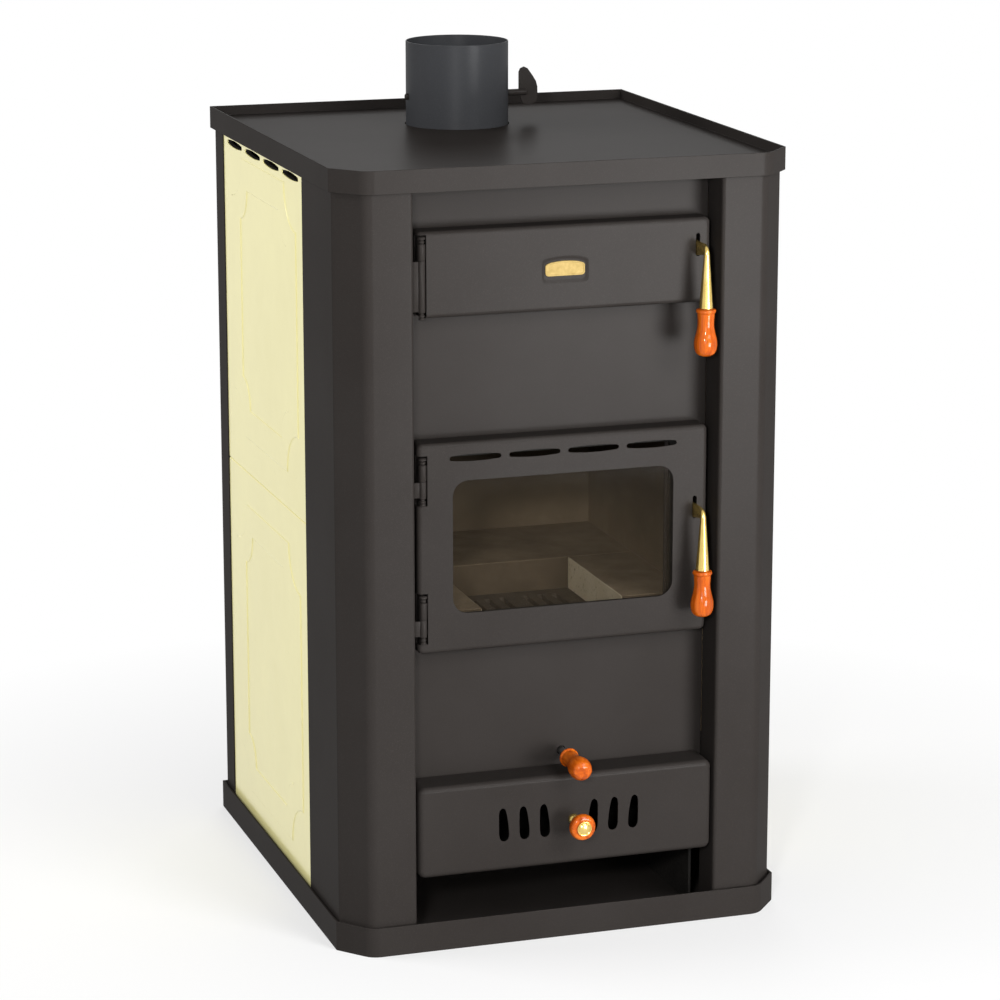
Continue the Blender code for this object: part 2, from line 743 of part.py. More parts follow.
def tile_backing(name, side, finish):
    """A sheet that clamps the tiles against the posts' flanges."""
    flange = CASE_X - SHEET - GAP
    seat = flange - TILE_LIP_THICKNESS - GAP
    front = TILE_FRONT + TILE_EDGE_GAP - TILE_LIP - BACKING - GAP
    back = TILE_BACK - TILE_EDGE_GAP + TILE_LIP + BACKING + GAP
    path = [
        (flange, front - BACKING_FLANGE), (flange, front), (seat, front),
        (seat, back), (flange, back), (flange, CASE_BACK - SHARP_BEND),
    ]
    outline = bent_strip(path, (BACKING,) * 4, BACKING, 1)
    return new_object(name, prism(mirrored(outline, side), "Z", CASE_BOTTOM, BACKING_TOP), finish)


def side_tiles(finish):
    for word, side in (("left", -1), ("right", 1)):
        tile("tile_%s_lower" % word, side, CASE_BOTTOM, TILE_JOINT - GAP / 2,
             CASE_BOTTOM + BAND_ABOVE_BOTTOM, TILE_JOINT - BAND_BELOW_JOINT, False, finish)
        tile("tile_%s_upper" % word, side, TILE_JOINT + GAP / 2, CASE_TOP,
             TILE_JOINT + BAND_ABOVE_JOINT, CASE_TOP - BAND_BELOW_TOP, True, finish)


# Front plate

def opening_half_height(liner_half_height):
    return liner_half_height - LINER_DEPTH_INSIDE - OPENING_MARGIN / 5


def front_plate(finish):
    made = new_object("front_plate", box(
        (-RECESS_HALF + GAP, PANEL_Y, PLATE_BOTTOM), (RECESS_HALF - GAP, PANEL_BACK, CASE_TOP)), finish)

    def window(half_x, low, high):
        return tool(box((-half_x, PANEL_Y - PLATE, low), (half_x, PANEL_BACK + PLATE, high)))

    loading = opening_half_height(LOADING_LINER_HALF_HEIGHT)
    fire = opening_half_height(FIRE_LINER_HALF_HEIGHT)
    rod_hole = cylinder(
        RIDDLE_HOLE_RADIUS, (RIDDLE_X, 0, RIDDLE_Z), "Y", PANEL_Y - PLATE, PANEL_BACK + PLATE, ROUND)
    return cut(
        made,
        window(DOOR_OPENING_HALF, LOADING_DOOR_Z - loading, LOADING_DOOR_Z + loading),
        window(DOOR_OPENING_HALF, FIRE_DOOR_Z - fire, FIRE_DOOR_Z + fire),
        window(DRAWER_BOX_HALF + ASH_OPENING_MARGIN, CHAMBER_FLOOR_TOP, DRAWER_BOX_TOP + ASH_OPENING_MARGIN),
        tool(rod_hole))


# Boiler

def inner_space():
    """The firebox and the throat above it."""
    half = FIREBOX_HALF
    front = INNER_FRONT - JACKET_WALL
    return (
        tool(box((-half, front, JACKET_BOTTOM - JACKET_WALL), (half, FIREBOX_BACK, THROAT_BOTTOM))),
        tool(box((-half, front, THROAT_BOTTOM - LEDGE), (half, THROAT_BACK, THROAT_TOP))),
    )


def flue_passage(radius):
    return tool(cylinder(radius, (0, FLUE_Y, 0), "Z", THROAT_TOP - LEDGE, JACKET_TOP + LEDGE, FINE))


def boiler_jacket(finish):
    """The outer shell, open at the front, where the inner shell's flange closes the water space."""
    wall = JACKET_WALL
    made = new_object("boiler_jacket", box(
        (-JACKET_HALF, INNER_FRONT, JACKET_BOTTOM), (JACKET_HALF, JACKET_BACK, JACKET_TOP)), finish)
    water = tool(box(
        (-JACKET_HALF + wall, INNER_FRONT - wall, JACKET_BOTTOM + wall),
        (JACKET_HALF - wall, JACKET_BACK - wall, JACKET_TOP - wall)))
    half = FIREBOX_HALF + wall + GAP
    seat = tool(box(
        (-half, INNER_FRONT - wall, JACKET_BOTTOM - wall),
        (half, FIREBOX_BACK + wall + GAP, JACKET_BOTTOM + 2 * wall)))
    bores = []
    for name, x, z, bore, outside in sockets():
        start = JACKET_BACK - 2 * wall
        bores.append(tool(cylinder(bore, (x, 0, z), "Y", start, JACKET_BACK + wall, SMALL * 2)))
    return cut(made, water, seat, flue_passage(FLUE_RADIUS + wall + 2 * GAP), *bores)


def firebox_shell(finish):
    """The inner shell: firebox and throat walls, the flue's passage, and a flange all round the front."""
    wall = JACKET_WALL
    half = FIREBOX_HALF + wall
    flange = JACKET_HALF - wall - GAP
    made = new_object("firebox_shell", box(
        (-half, INNER_FRONT, JACKET_BOTTOM), (half, FIREBOX_BACK + wall, THROAT_BOTTOM)), finish)
    join(
        made,
        tool(box(
            (-half, INNER_FRONT, THROAT_BOTTOM - LEDGE),
            (half, THROAT_BACK + wall, THROAT_TOP + wall))),
        tool(box(
            (-flange, INNER_FRONT, JACKET_BOTTOM + wall + GAP),
            (flange, INNER_FRONT + wall, JACKET_TOP - wall - GAP))),
        tool(cylinder(FLUE_RADIUS + GAP + wall, (0, FLUE_Y, 0), "Z", THROAT_TOP, JACKET_TOP, FINE)))
    lower, upper = inner_space()
    cut(made, lower, upper_throat(upper), flue_passage(FLUE_RADIUS + GAP))
    for side in (-1, 1):
        inner = side * (FIREBOX_HALF - LEDGE)
        outer = side * (FIREBOX_HALF + LEDGE_BITE)
        low_x, high_x = sorted((inner, outer))
        join(
            made,
            tool(box((low_x, HEARTH_FRONT, HEARTH_Z - LEDGE), (high_x, FIREBOX_BACK - LEDGE, HEARTH_Z))),
            tool(box(
                (low_x, BAFFLE_FRONT, THROAT_BOTTOM - LEDGE),
                (high_x, FIREBOX_BACK - LEDGE, THROAT_BOTTOM))))
    return made


def upper_throat(block):
    """Lifts the throat's floor to its own level, so that a step is left behind the firebox."""
    for vertex in block.data.vertices:
        if vertex.co.z < THROAT_BOTTOM:
            vertex.co.z = THROAT_BOTTOM
    return block


def water_sockets(finish):
    for name, x, z, bore, outside in sockets():
        start = JACKET_BACK + GAP
        end = CASE_BACK + SOCKET_BEHIND_CASE
        profile = [(bore, start), (outside, start), (outside, end), (bore, end)]
        new_object(name, turned(profile, (x, 0, z), "Y", SMALL * 2, closed=True), finish, smooth=True)


def baffle_plate(finish):
    half = FIREBOX_HALF - INNER_CLEARANCE
    low = THROAT_BOTTOM + GAP
    slab = box((-half, BAFFLE_FRONT, low), (half, BAFFLE_BACK, low + BAFFLE))
    return new_object("baffle_plate", slab, finish)


def ash_chamber(finish):
    inside = CHAMBER_HALF
    outside = inside + CHAMBER_WALL
    back = FIREBOX_BACK + CHAMBER_WALL
    top = JACKET_BOTTOM - GAP
    floor_bottom = CHAMBER_FLOOR_TOP - CHAMBER_WALL
    made = new_object("ash_chamber", box((-outside, INNER_FRONT, CASE_BOTTOM), (outside, back, top)), finish)
    front = INNER_FRONT - CHAMBER_WALL
    return cut(
        made,
        tool(box((-inside, front, CHAMBER_FLOOR_TOP), (inside, FIREBOX_BACK, top + CHAMBER_WALL))),
        tool(box((-inside, front, CASE_BOTTOM - CHAMBER_WALL), (inside, FIREBOX_BACK, floor_bottom))))


def hearth(iron, brick):
    half = FIREBOX_HALF - INNER_CLEARANCE
    back = FIREBOX_BACK - INNER_CLEARANCE
    low = HEARTH_Z + GAP
    plate = new_object("hearth_plate", box((-half, HEARTH_FRONT, low), (half, back, HEARTH_TOP)), iron)
    cut(plate, tool(box(
        (-HEARTH_OPENING_HALF, HEARTH_OPENING_FRONT, low - HEARTH),
        (HEARTH_OPENING_HALF, HEARTH_OPENING_BACK, HEARTH_TOP + HEARTH))))
    foot = HEARTH_TOP + GAP
    side_back = BRICK_BACK_FACE - GAP
    left = box((-half, HEARTH_FRONT, foot), (-BRICK_INNER, side_back, BRICK_TOP))
    right = box((BRICK_INNER, HEARTH_FRONT, foot), (half, side_back, BRICK_TOP))
    new_object("firebrick_left", left, brick)
    new_object("firebrick_right", right, brick)
    new_object("firebrick_back", box((-half, BRICK_BACK_FACE, foot), (half, back, BRICK_TOP)), brick)


# Riddling gear

def grate(finish):
    half = BRICK_INNER - GRATE_SIDE_CLEARANCE
    low = HEARTH_TOP + GAP
    high = low + GRATE
    made = new_object("grate", box((-half, GRATE_FRONT, low), (half, GRATE_BACK, high)), finish)
    cutters = []
    for side in (-1, 1):
        x = RIDDLE_X + side * GRATE_SLOT_FIRST
        while abs(x) + GRATE_SLOT < HEARTH_OPENING_HALF + GRATE_SLOT / 2:
            cutters.append(tool(box(
                (x - GRATE_SLOT / 2, GRATE_FRONT + GRATE_SLOT_END, low - GRATE),
                (x + GRATE_SLOT / 2, GRATE_BACK - GRATE_SLOT_END, high + GRATE))))
            x += side * GRATE_SLOT_PITCH
    peg_hole = cylinder(
        RIDDLE_PEG_RADIUS + GAP, (RIDDLE_X, RIDDLE_ARM_Y, 0), "Z", low - GRATE, high + GRATE, SMALL)
    return cut(made, *cutters, tool(peg_hole))


def riddling_rod(finish):
    """A rod that is level through the front plate and droops a little outside it."""
    bend = PANEL_Y - RIDDLE_BEND
    reach = RIDDLE_GRIP_REAR - RIDDLE_BEND + GRIP_LENGTH * GRIP_BORE
    droop = radians(RIDDLE_DROOP)
    path = [
        (RIDDLE_ARM_Y, RIDDLE_Z), (bend, RIDDLE_Z),
        (bend - reach * cos(droop), RIDDLE_Z - reach * sin(droop))]
    rings = []
    for (y, z), lean in zip(path, (0.0, droop / 2, droop)):
        ring = []
        for i in range(SMALL):
            angle = 2 * pi * (i + 0.5) / SMALL
            up = RIDDLE_ROD_RADIUS * sin(angle)
            ring.append((RIDDLE_X + RIDDLE_ROD_RADIUS * cos(angle), y - up * sin(lean), z + up * cos(lean)))
        rings.append(ring)
    made = new_object("riddling_rod", loft(rings), finish, smooth=True)
    half = RIDDLE_ARM_THICKNESS / 2
    arm = box(
        (RIDDLE_X - half, RIDDLE_ARM_Y - RIDDLE_ARM / 2, RIDDLE_Z - RIDDLE_ROD_RADIUS / 2),
        (RIDDLE_X + half, RIDDLE_ARM_Y + RIDDLE_ARM / 2, HEARTH_TOP))
    peg = cylinder(
        RIDDLE_PEG_RADIUS, (RIDDLE_X, RIDDLE_ARM_Y, 0), "Z",
        HEARTH_TOP - RIDDLE_ARM / 2, HEARTH_TOP + GAP + GRATE / 2, SMALL)
    return join(made, tool(arm), tool(peg))


def riddling_grip(finish):
    bore = RIDDLE_ROD_RADIUS + GAP
    bore_end = GRIP_LENGTH * GRIP_BORE + GAP
    profile = [(0.0, bore_end), (bore, bore_end), (bore, 0.0)] + list(GRIP_PROFILE)
    bm = turned([(radius, -along) for radius, along in profile], (0, 0, 0), "Y", ROUND)
    droop = radians(RIDDLE_DROOP)
    out = RIDDLE_GRIP_REAR - RIDDLE_BEND
    rear = (RIDDLE_X, PANEL_Y - RIDDLE_BEND - out * cos(droop), RIDDLE_Z - out * sin(droop))
    bmesh.ops.transform(bm, matrix=Matrix.Translation(rear) @ Matrix.Rotation(droop, 4, "X"), verts=bm.verts)
    return new_object("riddling_grip", bm, finish, smooth=True)


# Ash drawer

def drawer_front(finish):
    back = PANEL_Y - DOOR_BACK_CLEARANCE
    made = new_object("ash_drawer_front", pan(
        DRAWER_HALF, DRAWER_HALF_HEIGHT, DRAWER_CORNER, DRAWER_EDGE, DRAWER_SHEET,
        DRAWER_FACE, back, DRAWER_Z), finish, smooth=True)
    cutters = []
    for side in (-1, 1):
        for i in range(3):
            x = DRAWER_SLOT_CENTRE + side * (DRAWER_SLOT_FIRST + i * DRAWER_SLOT_PITCH)
            outline = drawer_slot(x, -side)
            cutters.append(tool(prism(
                outline, "Y", DRAWER_FACE - DRAWER_SHEET, DRAWER_FACE + 2 * DRAWER_SHEET)))
    stud_hole = cylinder(
        STUD_SHANK + GAP, (KNOB_X, 0, DRAWER_Z), "Y", DRAWER_FACE - DRAWER_SHEET,
        DRAWER_FACE + 2 * DRAWER_SHEET, SMALL)
    return cut(made, *cutters, tool(stud_hole))


def drawer_slot(x, bulge):
    """An upright slot, straight on its outer side and widening downwards on the side towards the knob."""
    straight = x - bulge * DRAWER_SLOT_STRAIGHT
    low = DRAWER_SLOT_Z - DRAWER_SLOT_HEIGHT / 2
    return [(straight + bulge * across, low + up * DRAWER_SLOT_HEIGHT) for across, up in DRAWER_SLOT_OUTLINE]


def drawer_box(finish):
    half = DRAWER_BOX_HALF
    wall = DRAWER_SHEET
    low = CHAMBER_FLOOR_TOP + GAP
    made = new_object("ash_drawer_box", box(
        (-half, DRAWER_INSIDE, low), (half, DRAWER_BOX_BACK, DRAWER_BOX_TOP)), finish)
    return cut(
        made,
        tool(box((-half + wall, DRAWER_INSIDE + wall, low + wall),
                 (half - wall, DRAWER_BOX_BACK - wall, DRAWER_BOX_TOP + wall))),
        tool(box((-half + wall, DRAWER_INSIDE - wall, DRAWER_BOX_LIP),
                 (half - wall, DRAWER_INSIDE + 2 * wall, DRAWER_BOX_TOP + wall))))


def drawer_knob(wood, brass):
    place = (KNOB_X, DRAWER_FACE, DRAWER_Z)
    inside = DRAWER_SHEET + GAP
    stud = [
        (0.0, -inside - STUD_NUT), (STUD_FOOT, -inside - STUD_NUT), (STUD_FOOT, -inside),
        (STUD_SHANK, -inside),
        (STUD_SHANK, GAP), (STUD_FOOT, GAP), (STUD_FOOT, 0.0028), (0.0070, 0.0050), (STUD_SHANK, 0.0078),
        (STUD_SHANK, KNOB_END + GAP), (KNOB_DOME, KNOB_END + GAP), (KNOB_DOME * 0.92, KNOB_OUT - 0.0030),
        (KNOB_DOME * 0.66, KNOB_OUT - 0.0010), (0.0, KNOB_OUT),
    ]
    new_object("drawer_knob_stud", turned([(r, -s) for r, s in stud], place, "Y", ROUND // 4 * 3),
               brass, smooth=True)
    bore = STUD_SHANK + GAP
    ring = [
        (bore, KNOB_START), (0.0100, KNOB_START), (0.0150, KNOB_START + 0.0018),
        (0.0180, KNOB_START + 0.0050),
        (KNOB_RING, KNOB_START + 0.0082), (0.0180, KNOB_START + 0.0116), (0.0160, KNOB_END - 0.0018),
        (0.0124, KNOB_END), (bore, KNOB_END),
    ]
    new_object("drawer_knob", turned([(r, -s) for r, s in ring], place, "Y", ROUND, closed=True),
               wood, smooth=True)


# Doors

def door_pan(name, centre_z, half_height, cutters, finish):
    made = new_object(name, pan(
        DOOR_HALF, half_height, DOOR_CORNER, DOOR_EDGE, DOOR_SHEET, DOOR_FACE, DOOR_BACK, centre_z),
        finish, smooth=True)
    return cut(made, *cutters)


def through_door(outline):
    return tool(prism(outline, "Y", DOOR_FACE - DOOR_SHEET, DOOR_FACE + 2 * DOOR_SHEET))


def latch_slot(z):
    half = LATCH_SLOT / 2
    high = arc((LATCH_X, z + LATCH_SLOT_ABOVE - half), half, 0, 180, 4)
    low = arc((LATCH_X, z - LATCH_SLOT_BELOW + half), half, 180, 360, 4)
    return through_door(high + low)


def hinge_notch(hinge):
    low = hinge[0] - FINIAL - NOTCH_END
    high = hinge[2] + FINIAL + NOTCH_END
    return tool(box(
        (-DOOR_HALF - NOTCH_SIDE, DOOR_FACE - NOTCH_DEPTH, low),
        (HINGE_X + NOTCH_SIDE, DOOR_FACE + NOTCH_DEPTH, high)))


def badge_outline(grow_x, grow_z, drop):
    """A plate with an arched top and round lower corners, grown all round."""
    half = BADGE_HALF + grow_x
    low = BADGE_Z - BADGE_HEIGHT / 2 - grow_z - drop
    high = BADGE_Z + BADGE_HEIGHT / 2 + grow_z - drop
    corner = BADGE_CORNER + min(grow_x, grow_z) / 2
    shoulder = high - BADGE_ARCH
    points = arc((-half + corner, low + corner), corner, 180, 270, ARC_STEPS)
    points += arc((half - corner, low + corner), corner, 270, 360, ARC_STEPS)
    points += arc((half - corner, shoulder - corner), corner, 0, 60, ARC_STEPS - 1)
    steps = 8
    reach = half - corner / 2
    for i in range(1, steps):
        x = reach * (1 - 2 * i / steps)
        points.append((x, high - BADGE_ARCH * (x / reach) ** 2))
    points += arc((-half + corner, shoulder - corner), corner, 120, 180, ARC_STEPS - 1)
    return points


def badge_plate(finish):
    floor = DOOR_FACE + BADGE_SEAT_DEPTH - GAP
    return new_object("badge_plate", prism(
        badge_outline(0.0, 0.0, 0.0), "Y", floor - BADGE_THICKNESS, floor), finish)


def badge_seat():
    outline = badge_outline(BADGE_SEAT_MARGIN_X, BADGE_SEAT_MARGIN_Z, BADGE_SEAT_DROP)
    return tool(prism(outline, "Y", DOOR_FACE - DOOR_SHEET, DOOR_FACE + BADGE_SEAT_DEPTH))


def liner(name, centre_z, half_height, finish):
    """A sheet wall behind the door's face, with a channel for the seal along its back edge."""
    back = PANEL_Y - LINER_BACK_CLEARANCE
    floor_back = seal_y() - SEAL_DIAMETER / 2 - GAP
    floor = floor_back - LINER_SHEET
    inner = LINER_DEPTH_INSIDE
    wall = LINER_SHEET
    profile = [
        (0.0, DOOR_INSIDE), (0.0, back), (-wall, back), (-wall, floor_back), (-inner + wall, floor_back),
        (-inner + wall, back), (-inner, back), (-inner, floor), (-wall, floor), (-wall, DOOR_INSIDE),
    ]
    return new_object(name, frame_sweep(profile, LINER_HALF, half_height, SEAL_CORNER, centre_z), finish)


def seal_y():
    return PANEL_Y - GAP - SEAL_DIAMETER / 2


def seal(name, centre_z, half_height, finish):
    radius = SEAL_DIAMETER / 2
    middle = LINER_SHEET + SEAL_CHANNEL / 2
    profile = [(u, seal_y() + v) for u, v in arc((0.0, 0.0), radius, 0, 315, 7)]
    return new_object(name, frame_sweep(
        profile, LINER_HALF - middle, half_height - middle, SEAL_CORNER - middle, centre_z), finish,
        smooth=True, smooth_angle=60.0)


def loading_door(mats):
    cutters = [latch_slot(LOADING_LATCH_Z), badge_seat(), hinge_notch(LOADING_HINGE)]
    made = [
        door_pan("loading_door", LOADING_DOOR_Z, LOADING_DOOR_HALF_HEIGHT, cutters, mats["casing"]),
        badge_plate(mats["brass"]),
        seal("loading_door_seal", LOADING_DOOR_Z, LOADING_LINER_HALF_HEIGHT, mats["rope"]),
    ]
    shield = liner("loading_door_liner", LOADING_DOOR_Z, LOADING_LINER_HALF_HEIGHT, mats["steel"])
    floor_back = seal_y() - SEAL_DIAMETER / 2 - GAP
    half = LINER_HALF - LINER_DEPTH_INSIDE + LINER_SHEET / 2
    half_z = LOADING_LINER_HALF_HEIGHT - LINER_DEPTH_INSIDE + LINER_SHEET / 2
    join(shield, tool(box(
        (-half, floor_back - LINER_SHEET, LOADING_DOOR_Z - half_z),
        (half, floor_back, LOADING_DOOR_Z + half_z))))
    made.append(shield)
    return made


def fire_door(mats):
    window = rounded_rectangle(WINDOW_HALF, WINDOW_HALF_HEIGHT, WINDOW_CORNER, (0.0, FIRE_DOOR_Z), 6)
    cutters = [through_door(window), latch_slot(FIRE_LATCH_Z)]
    cutters += [hinge_notch(FIRE_HINGE_UPPER), hinge_notch(FIRE_HINGE_LOWER)]
    slot_z = FIRE_DOOR_Z + FIRE_DOOR_HALF_HEIGHT - AIR_SLOT_DROP
    for i in range(4):
        x = (i - 1.5) * AIR_SLOT_PITCH
        cutters.append(through_door(lens_slot(AIR_SLOT_LENGTH, AIR_SLOT_MIDDLE, AIR_SLOT_END, (x, slot_z))))
    made = [
        door_pan("fire_door", FIRE_DOOR_Z, FIRE_DOOR_HALF_HEIGHT, cutters, mats["casing"]),
        liner("fire_door_liner", FIRE_DOOR_Z, FIRE_LINER_HALF_HEIGHT, mats["steel"]),
        seal("fire_door_seal", FIRE_DOOR_Z, FIRE_LINER_HALF_HEIGHT, mats["rope"]),
    ]
    return made + glazing(mats)


def glazing(mats):
    half_x = WINDOW_HALF + GLASS_MARGIN_X
    half_z = WINDOW_HALF_HEIGHT + GLASS_MARGIN_Z
    front = DOOR_INSIDE + GASKET + GAP
    pane = rounded_rectangle(half_x, half_z, GLASS_CORNER, (0.0, FIRE_DOOR_Z))
    glass = new_object("door_glass", prism(pane, "Y", front, front + GLASS), mats["glass"])
    profile = [
        (-GASKET_WIDTH, DOOR_INSIDE), (0.0, DOOR_INSIDE),
        (0.0, DOOR_INSIDE + GASKET), (-GASKET_WIDTH, DOOR_INSIDE + GASKET),
    ]
    gasket = new_object("glass_gasket", frame_sweep(
        profile, half_x - GAP, half_z - GAP, GLASS_CORNER, FIRE_DOOR_Z), mats["rope"])
    made = [glass, gasket]
    over = front + GLASS + GAP
    for word, side in (("upper", 1), ("lower", -1)):
        edge = half_z + GAP
        sheet = RETAINER_SHEET
        shape = [
            (DOOR_INSIDE, edge + RETAINER_FOOT), (DOOR_INSIDE, edge), (over, edge),
            (over, edge - RETAINER_LIP), (over + sheet, edge - RETAINER_LIP), (over + sheet, edge + sheet),
            (DOOR_INSIDE + sheet, edge + sheet),
            (DOOR_INSIDE + sheet, edge + RETAINER_FOOT),
        ]
        outline = [(y, FIRE_DOOR_Z + side * z) for y, z in shape]
        made.append(new_object(
            "glass_retainer_%s" % word, prism(outline, "X", -RETAINER_HALF, RETAINER_HALF), mats["steel"]))
    return made


# Hinges

def hinge(prefix, levels, finish):
    """A lift-off hinge: the lower half and its pin stand on the frame, the upper one is the door's."""
    low, seam, high = levels
    barrel = BARREL_RADIUS
    below = [
        (0.0, low - FINIAL), (0.0030, low - FINIAL + 0.0006), (0.0042, low - FINIAL + 0.0026),
        (0.0040, low - FINIAL + 0.0050), (0.0026, low - FINIAL + 0.0072), (0.0026, low - 0.0008),
        (barrel, low), (barrel, seam - GAP / 2), (PIN_RADIUS, seam - GAP / 2),
        (PIN_RADIUS, high - 0.0030), (0.0, high - 0.0030),
    ]
    frame_half = new_object(
        prefix + "_frame_half", turned(below, (HINGE_X, HINGE_Y, 0), "Z", SMALL), finish, smooth=True)
    inner = -DOOR_HALF - LEAF_GAP
    outer = inner - LEAF
    leaf = [
        (HINGE_X, HINGE_Y - LEAF / 2), (outer, HINGE_Y - LEAF / 2), (outer, PANEL_Y - GAP),
        (inner, PANEL_Y - GAP), (inner, HINGE_Y + LEAF / 2), (HINGE_X, HINGE_Y + LEAF / 2),
    ]
    join(frame_half, tool(prism(leaf, "Z", low + 0.0010, seam - 0.0012)))
    bore = PIN_RADIUS + PIN_CLEARANCE
    above = [
        (0.0, high - 0.0030 + PIN_CLEARANCE), (bore, high - 0.0030 + PIN_CLEARANCE), (bore, seam + GAP / 2),
        (barrel, seam + GAP / 2), (barrel, high), (0.0028, high + 0.0008), (0.0028, high + 0.0016),
        (0.0040, high + 0.0024), (0.0040, high + 0.0040), (0.0026, high + 0.0052), (0.0026, high + 0.0060),
        (0.0054, high + 0.0068), (0.0054, high + 0.0088), (0.0040, high + FINIAL), (0.0, high + FINIAL),
    ]
    door_half = new_object(
        prefix + "_door_half", turned(above, (HINGE_X, HINGE_Y, 0), "Z", SMALL), finish, smooth=True)
    tab = box(
        (HINGE_X - TAB_BACK, DOOR_INSIDE, seam + 0.0012),
        (HINGE_X + TAB_LENGTH, DOOR_INSIDE + LEAF, high - 0.0010))
    join(door_half, tool(tab))
    return door_half


# Latches

def latch(prefix, z, mats):
    """A bar through the door's slot: an arm inside the door, a cone and a grip outside."""
    place = (LATCH_X, LATCH_Y, z)
    bar_half = LATCH_BAR / 2
    root = LATCH_ROOT_HALF
    out = LATCH_PIVOT_DEPTH + GRIP_OUT
    tip = out + CONE_TOP_RADIUS
    bend = 0.0145
    outline = [(-LATCH_ARM, -LATCH_ARM_LOW), (-LATCH_ARM, LATCH_ARM_HIGH), (-0.0070, LATCH_ARM_HIGH)]
    outline += [(-0.0040, root - 0.0015), (0.0, root)]
    outline += arc((tip - bend, root - bend), bend, 90, 0, 6)
    outline += [(tip, -CONE_TOP), (out - CONE_TOP_RADIUS, -CONE_TOP)]
    outline += [(LATCH_PIVOT_DEPTH, -root), (0.0, -root)]
    outline += [(-0.0045, -root + 0.0018), (-0.0075, -LATCH_ARM_LOW)]
    world = [(LATCH_Y - forward, z + up) for forward, up in outline]
    lever = new_object(prefix + "_latch_lever", prism(
        world, "X", LATCH_X - bar_half, LATCH_X + bar_half), mats["brass"], smooth=True)
    stem = CONE_BASE_RADIUS * 0.45
    cone_low = -CONE_TOP - CONE_LENGTH
    cone = [
        (0.0, -CONE_TOP + 0.0040), (CONE_TOP_RADIUS * 0.6, -CONE_TOP + 0.0035),
        (CONE_TOP_RADIUS, -CONE_TOP + 0.0010), (CONE_TOP_RADIUS, -CONE_TOP - 0.0020),
        (CONE_BASE_RADIUS * 0.72, cone_low + CONE_LENGTH * 0.42),
        (CONE_BASE_RADIUS, cone_low), (stem, cone_low), (stem, cone_low - GRIP_LENGTH * GRIP_BORE),
        (0.0, cone_low - GRIP_LENGTH * GRIP_BORE),
    ]
    grip_axis = (LATCH_X, LATCH_Y - out, z)
    join(lever, tool(turned(cone, grip_axis, "Z", SMALL + 4)))
    cut(lever, tool(cylinder(LATCH_PIN_RADIUS + GAP, place, "X", -LATCH_BAR, LATCH_BAR, SMALL)))
    top = cone_low - GAP
    bore = stem + GAP
    bore_end = top - GRIP_LENGTH * GRIP_BORE - GAP
    profile = [(0.0, bore_end), (bore, bore_end), (bore, top)] + [(r, top - s) for r, s in GRIP_PROFILE]
    wood = turned(profile, grip_axis, "Z", ROUND)
    grip = new_object(prefix + "_latch_grip", wood, mats["wood"], smooth=True)
    return lever, grip


def latch_bracket(prefix, z, finish):
    """Two ears behind the door's face with the pin that the latch turns on."""
    near = LATCH_BAR / 2 + EAR_CLEARANCE
    far = near + EAR
    made = new_object(prefix + "_latch_bracket", cylinder(
        LATCH_PIN_RADIUS, (LATCH_X, LATCH_Y, z), "X", -far + EAR / 2, far - EAR / 2, SMALL), finish)
    for side in (-1, 1):
        low_x, high_x = sorted((LATCH_X + side * near, LATCH_X + side * far))
        ear = box(
            (low_x, DOOR_INSIDE, z - EAR_HALF_HEIGHT),
            (high_x, DOOR_INSIDE + EAR_REACH, z + EAR_HALF_HEIGHT))
        join(made, tool(ear))
    return made


def latch_catch(prefix, z, finish):
    low = z + LATCH_ARM_HIGH + CATCH_ABOVE_ARM
    back = PANEL_Y - GAP
    block = box(
        (LATCH_X - CATCH_HALF, back - CATCH_REACH, low),
        (LATCH_X + CATCH_HALF, back, low + CATCH_HEIGHT))
    return new_object(prefix + "_latch_catch", block, finish)


# Flue

def flue_collar(finish):
    inner = FLUE_RADIUS - FLUE_WALL
    low = THROAT_TOP + FLUE_WALL
    flange = JACKET_TOP + GAP
    top = TOP_PLATE_TOP + FLUE_ABOVE_PLATE
    profile = [
        (inner, low), (FLUE_RADIUS, low), (FLUE_RADIUS, flange), (FLUE_RADIUS + FLUE_FLANGE, flange),
        (FLUE_RADIUS + FLUE_FLANGE, flange + FLUE_FLANGE_THICKNESS),
        (FLUE_RADIUS, flange + FLUE_FLANGE_THICKNESS),
        (FLUE_RADIUS, top), (inner, top),
    ]
    pipe = turned(profile, (0, FLUE_Y, 0), "Z", FINE, closed=True)
    made = new_object("flue_collar", pipe, finish, smooth=True)
    reach = FLUE_RADIUS + SPINDLE_RIGHT
    hole = cylinder(SPINDLE_RADIUS + GAP, (0, FLUE_Y, DAMPER_Z), "X", -reach, reach, SMALL)
    return cut(made, tool(hole))


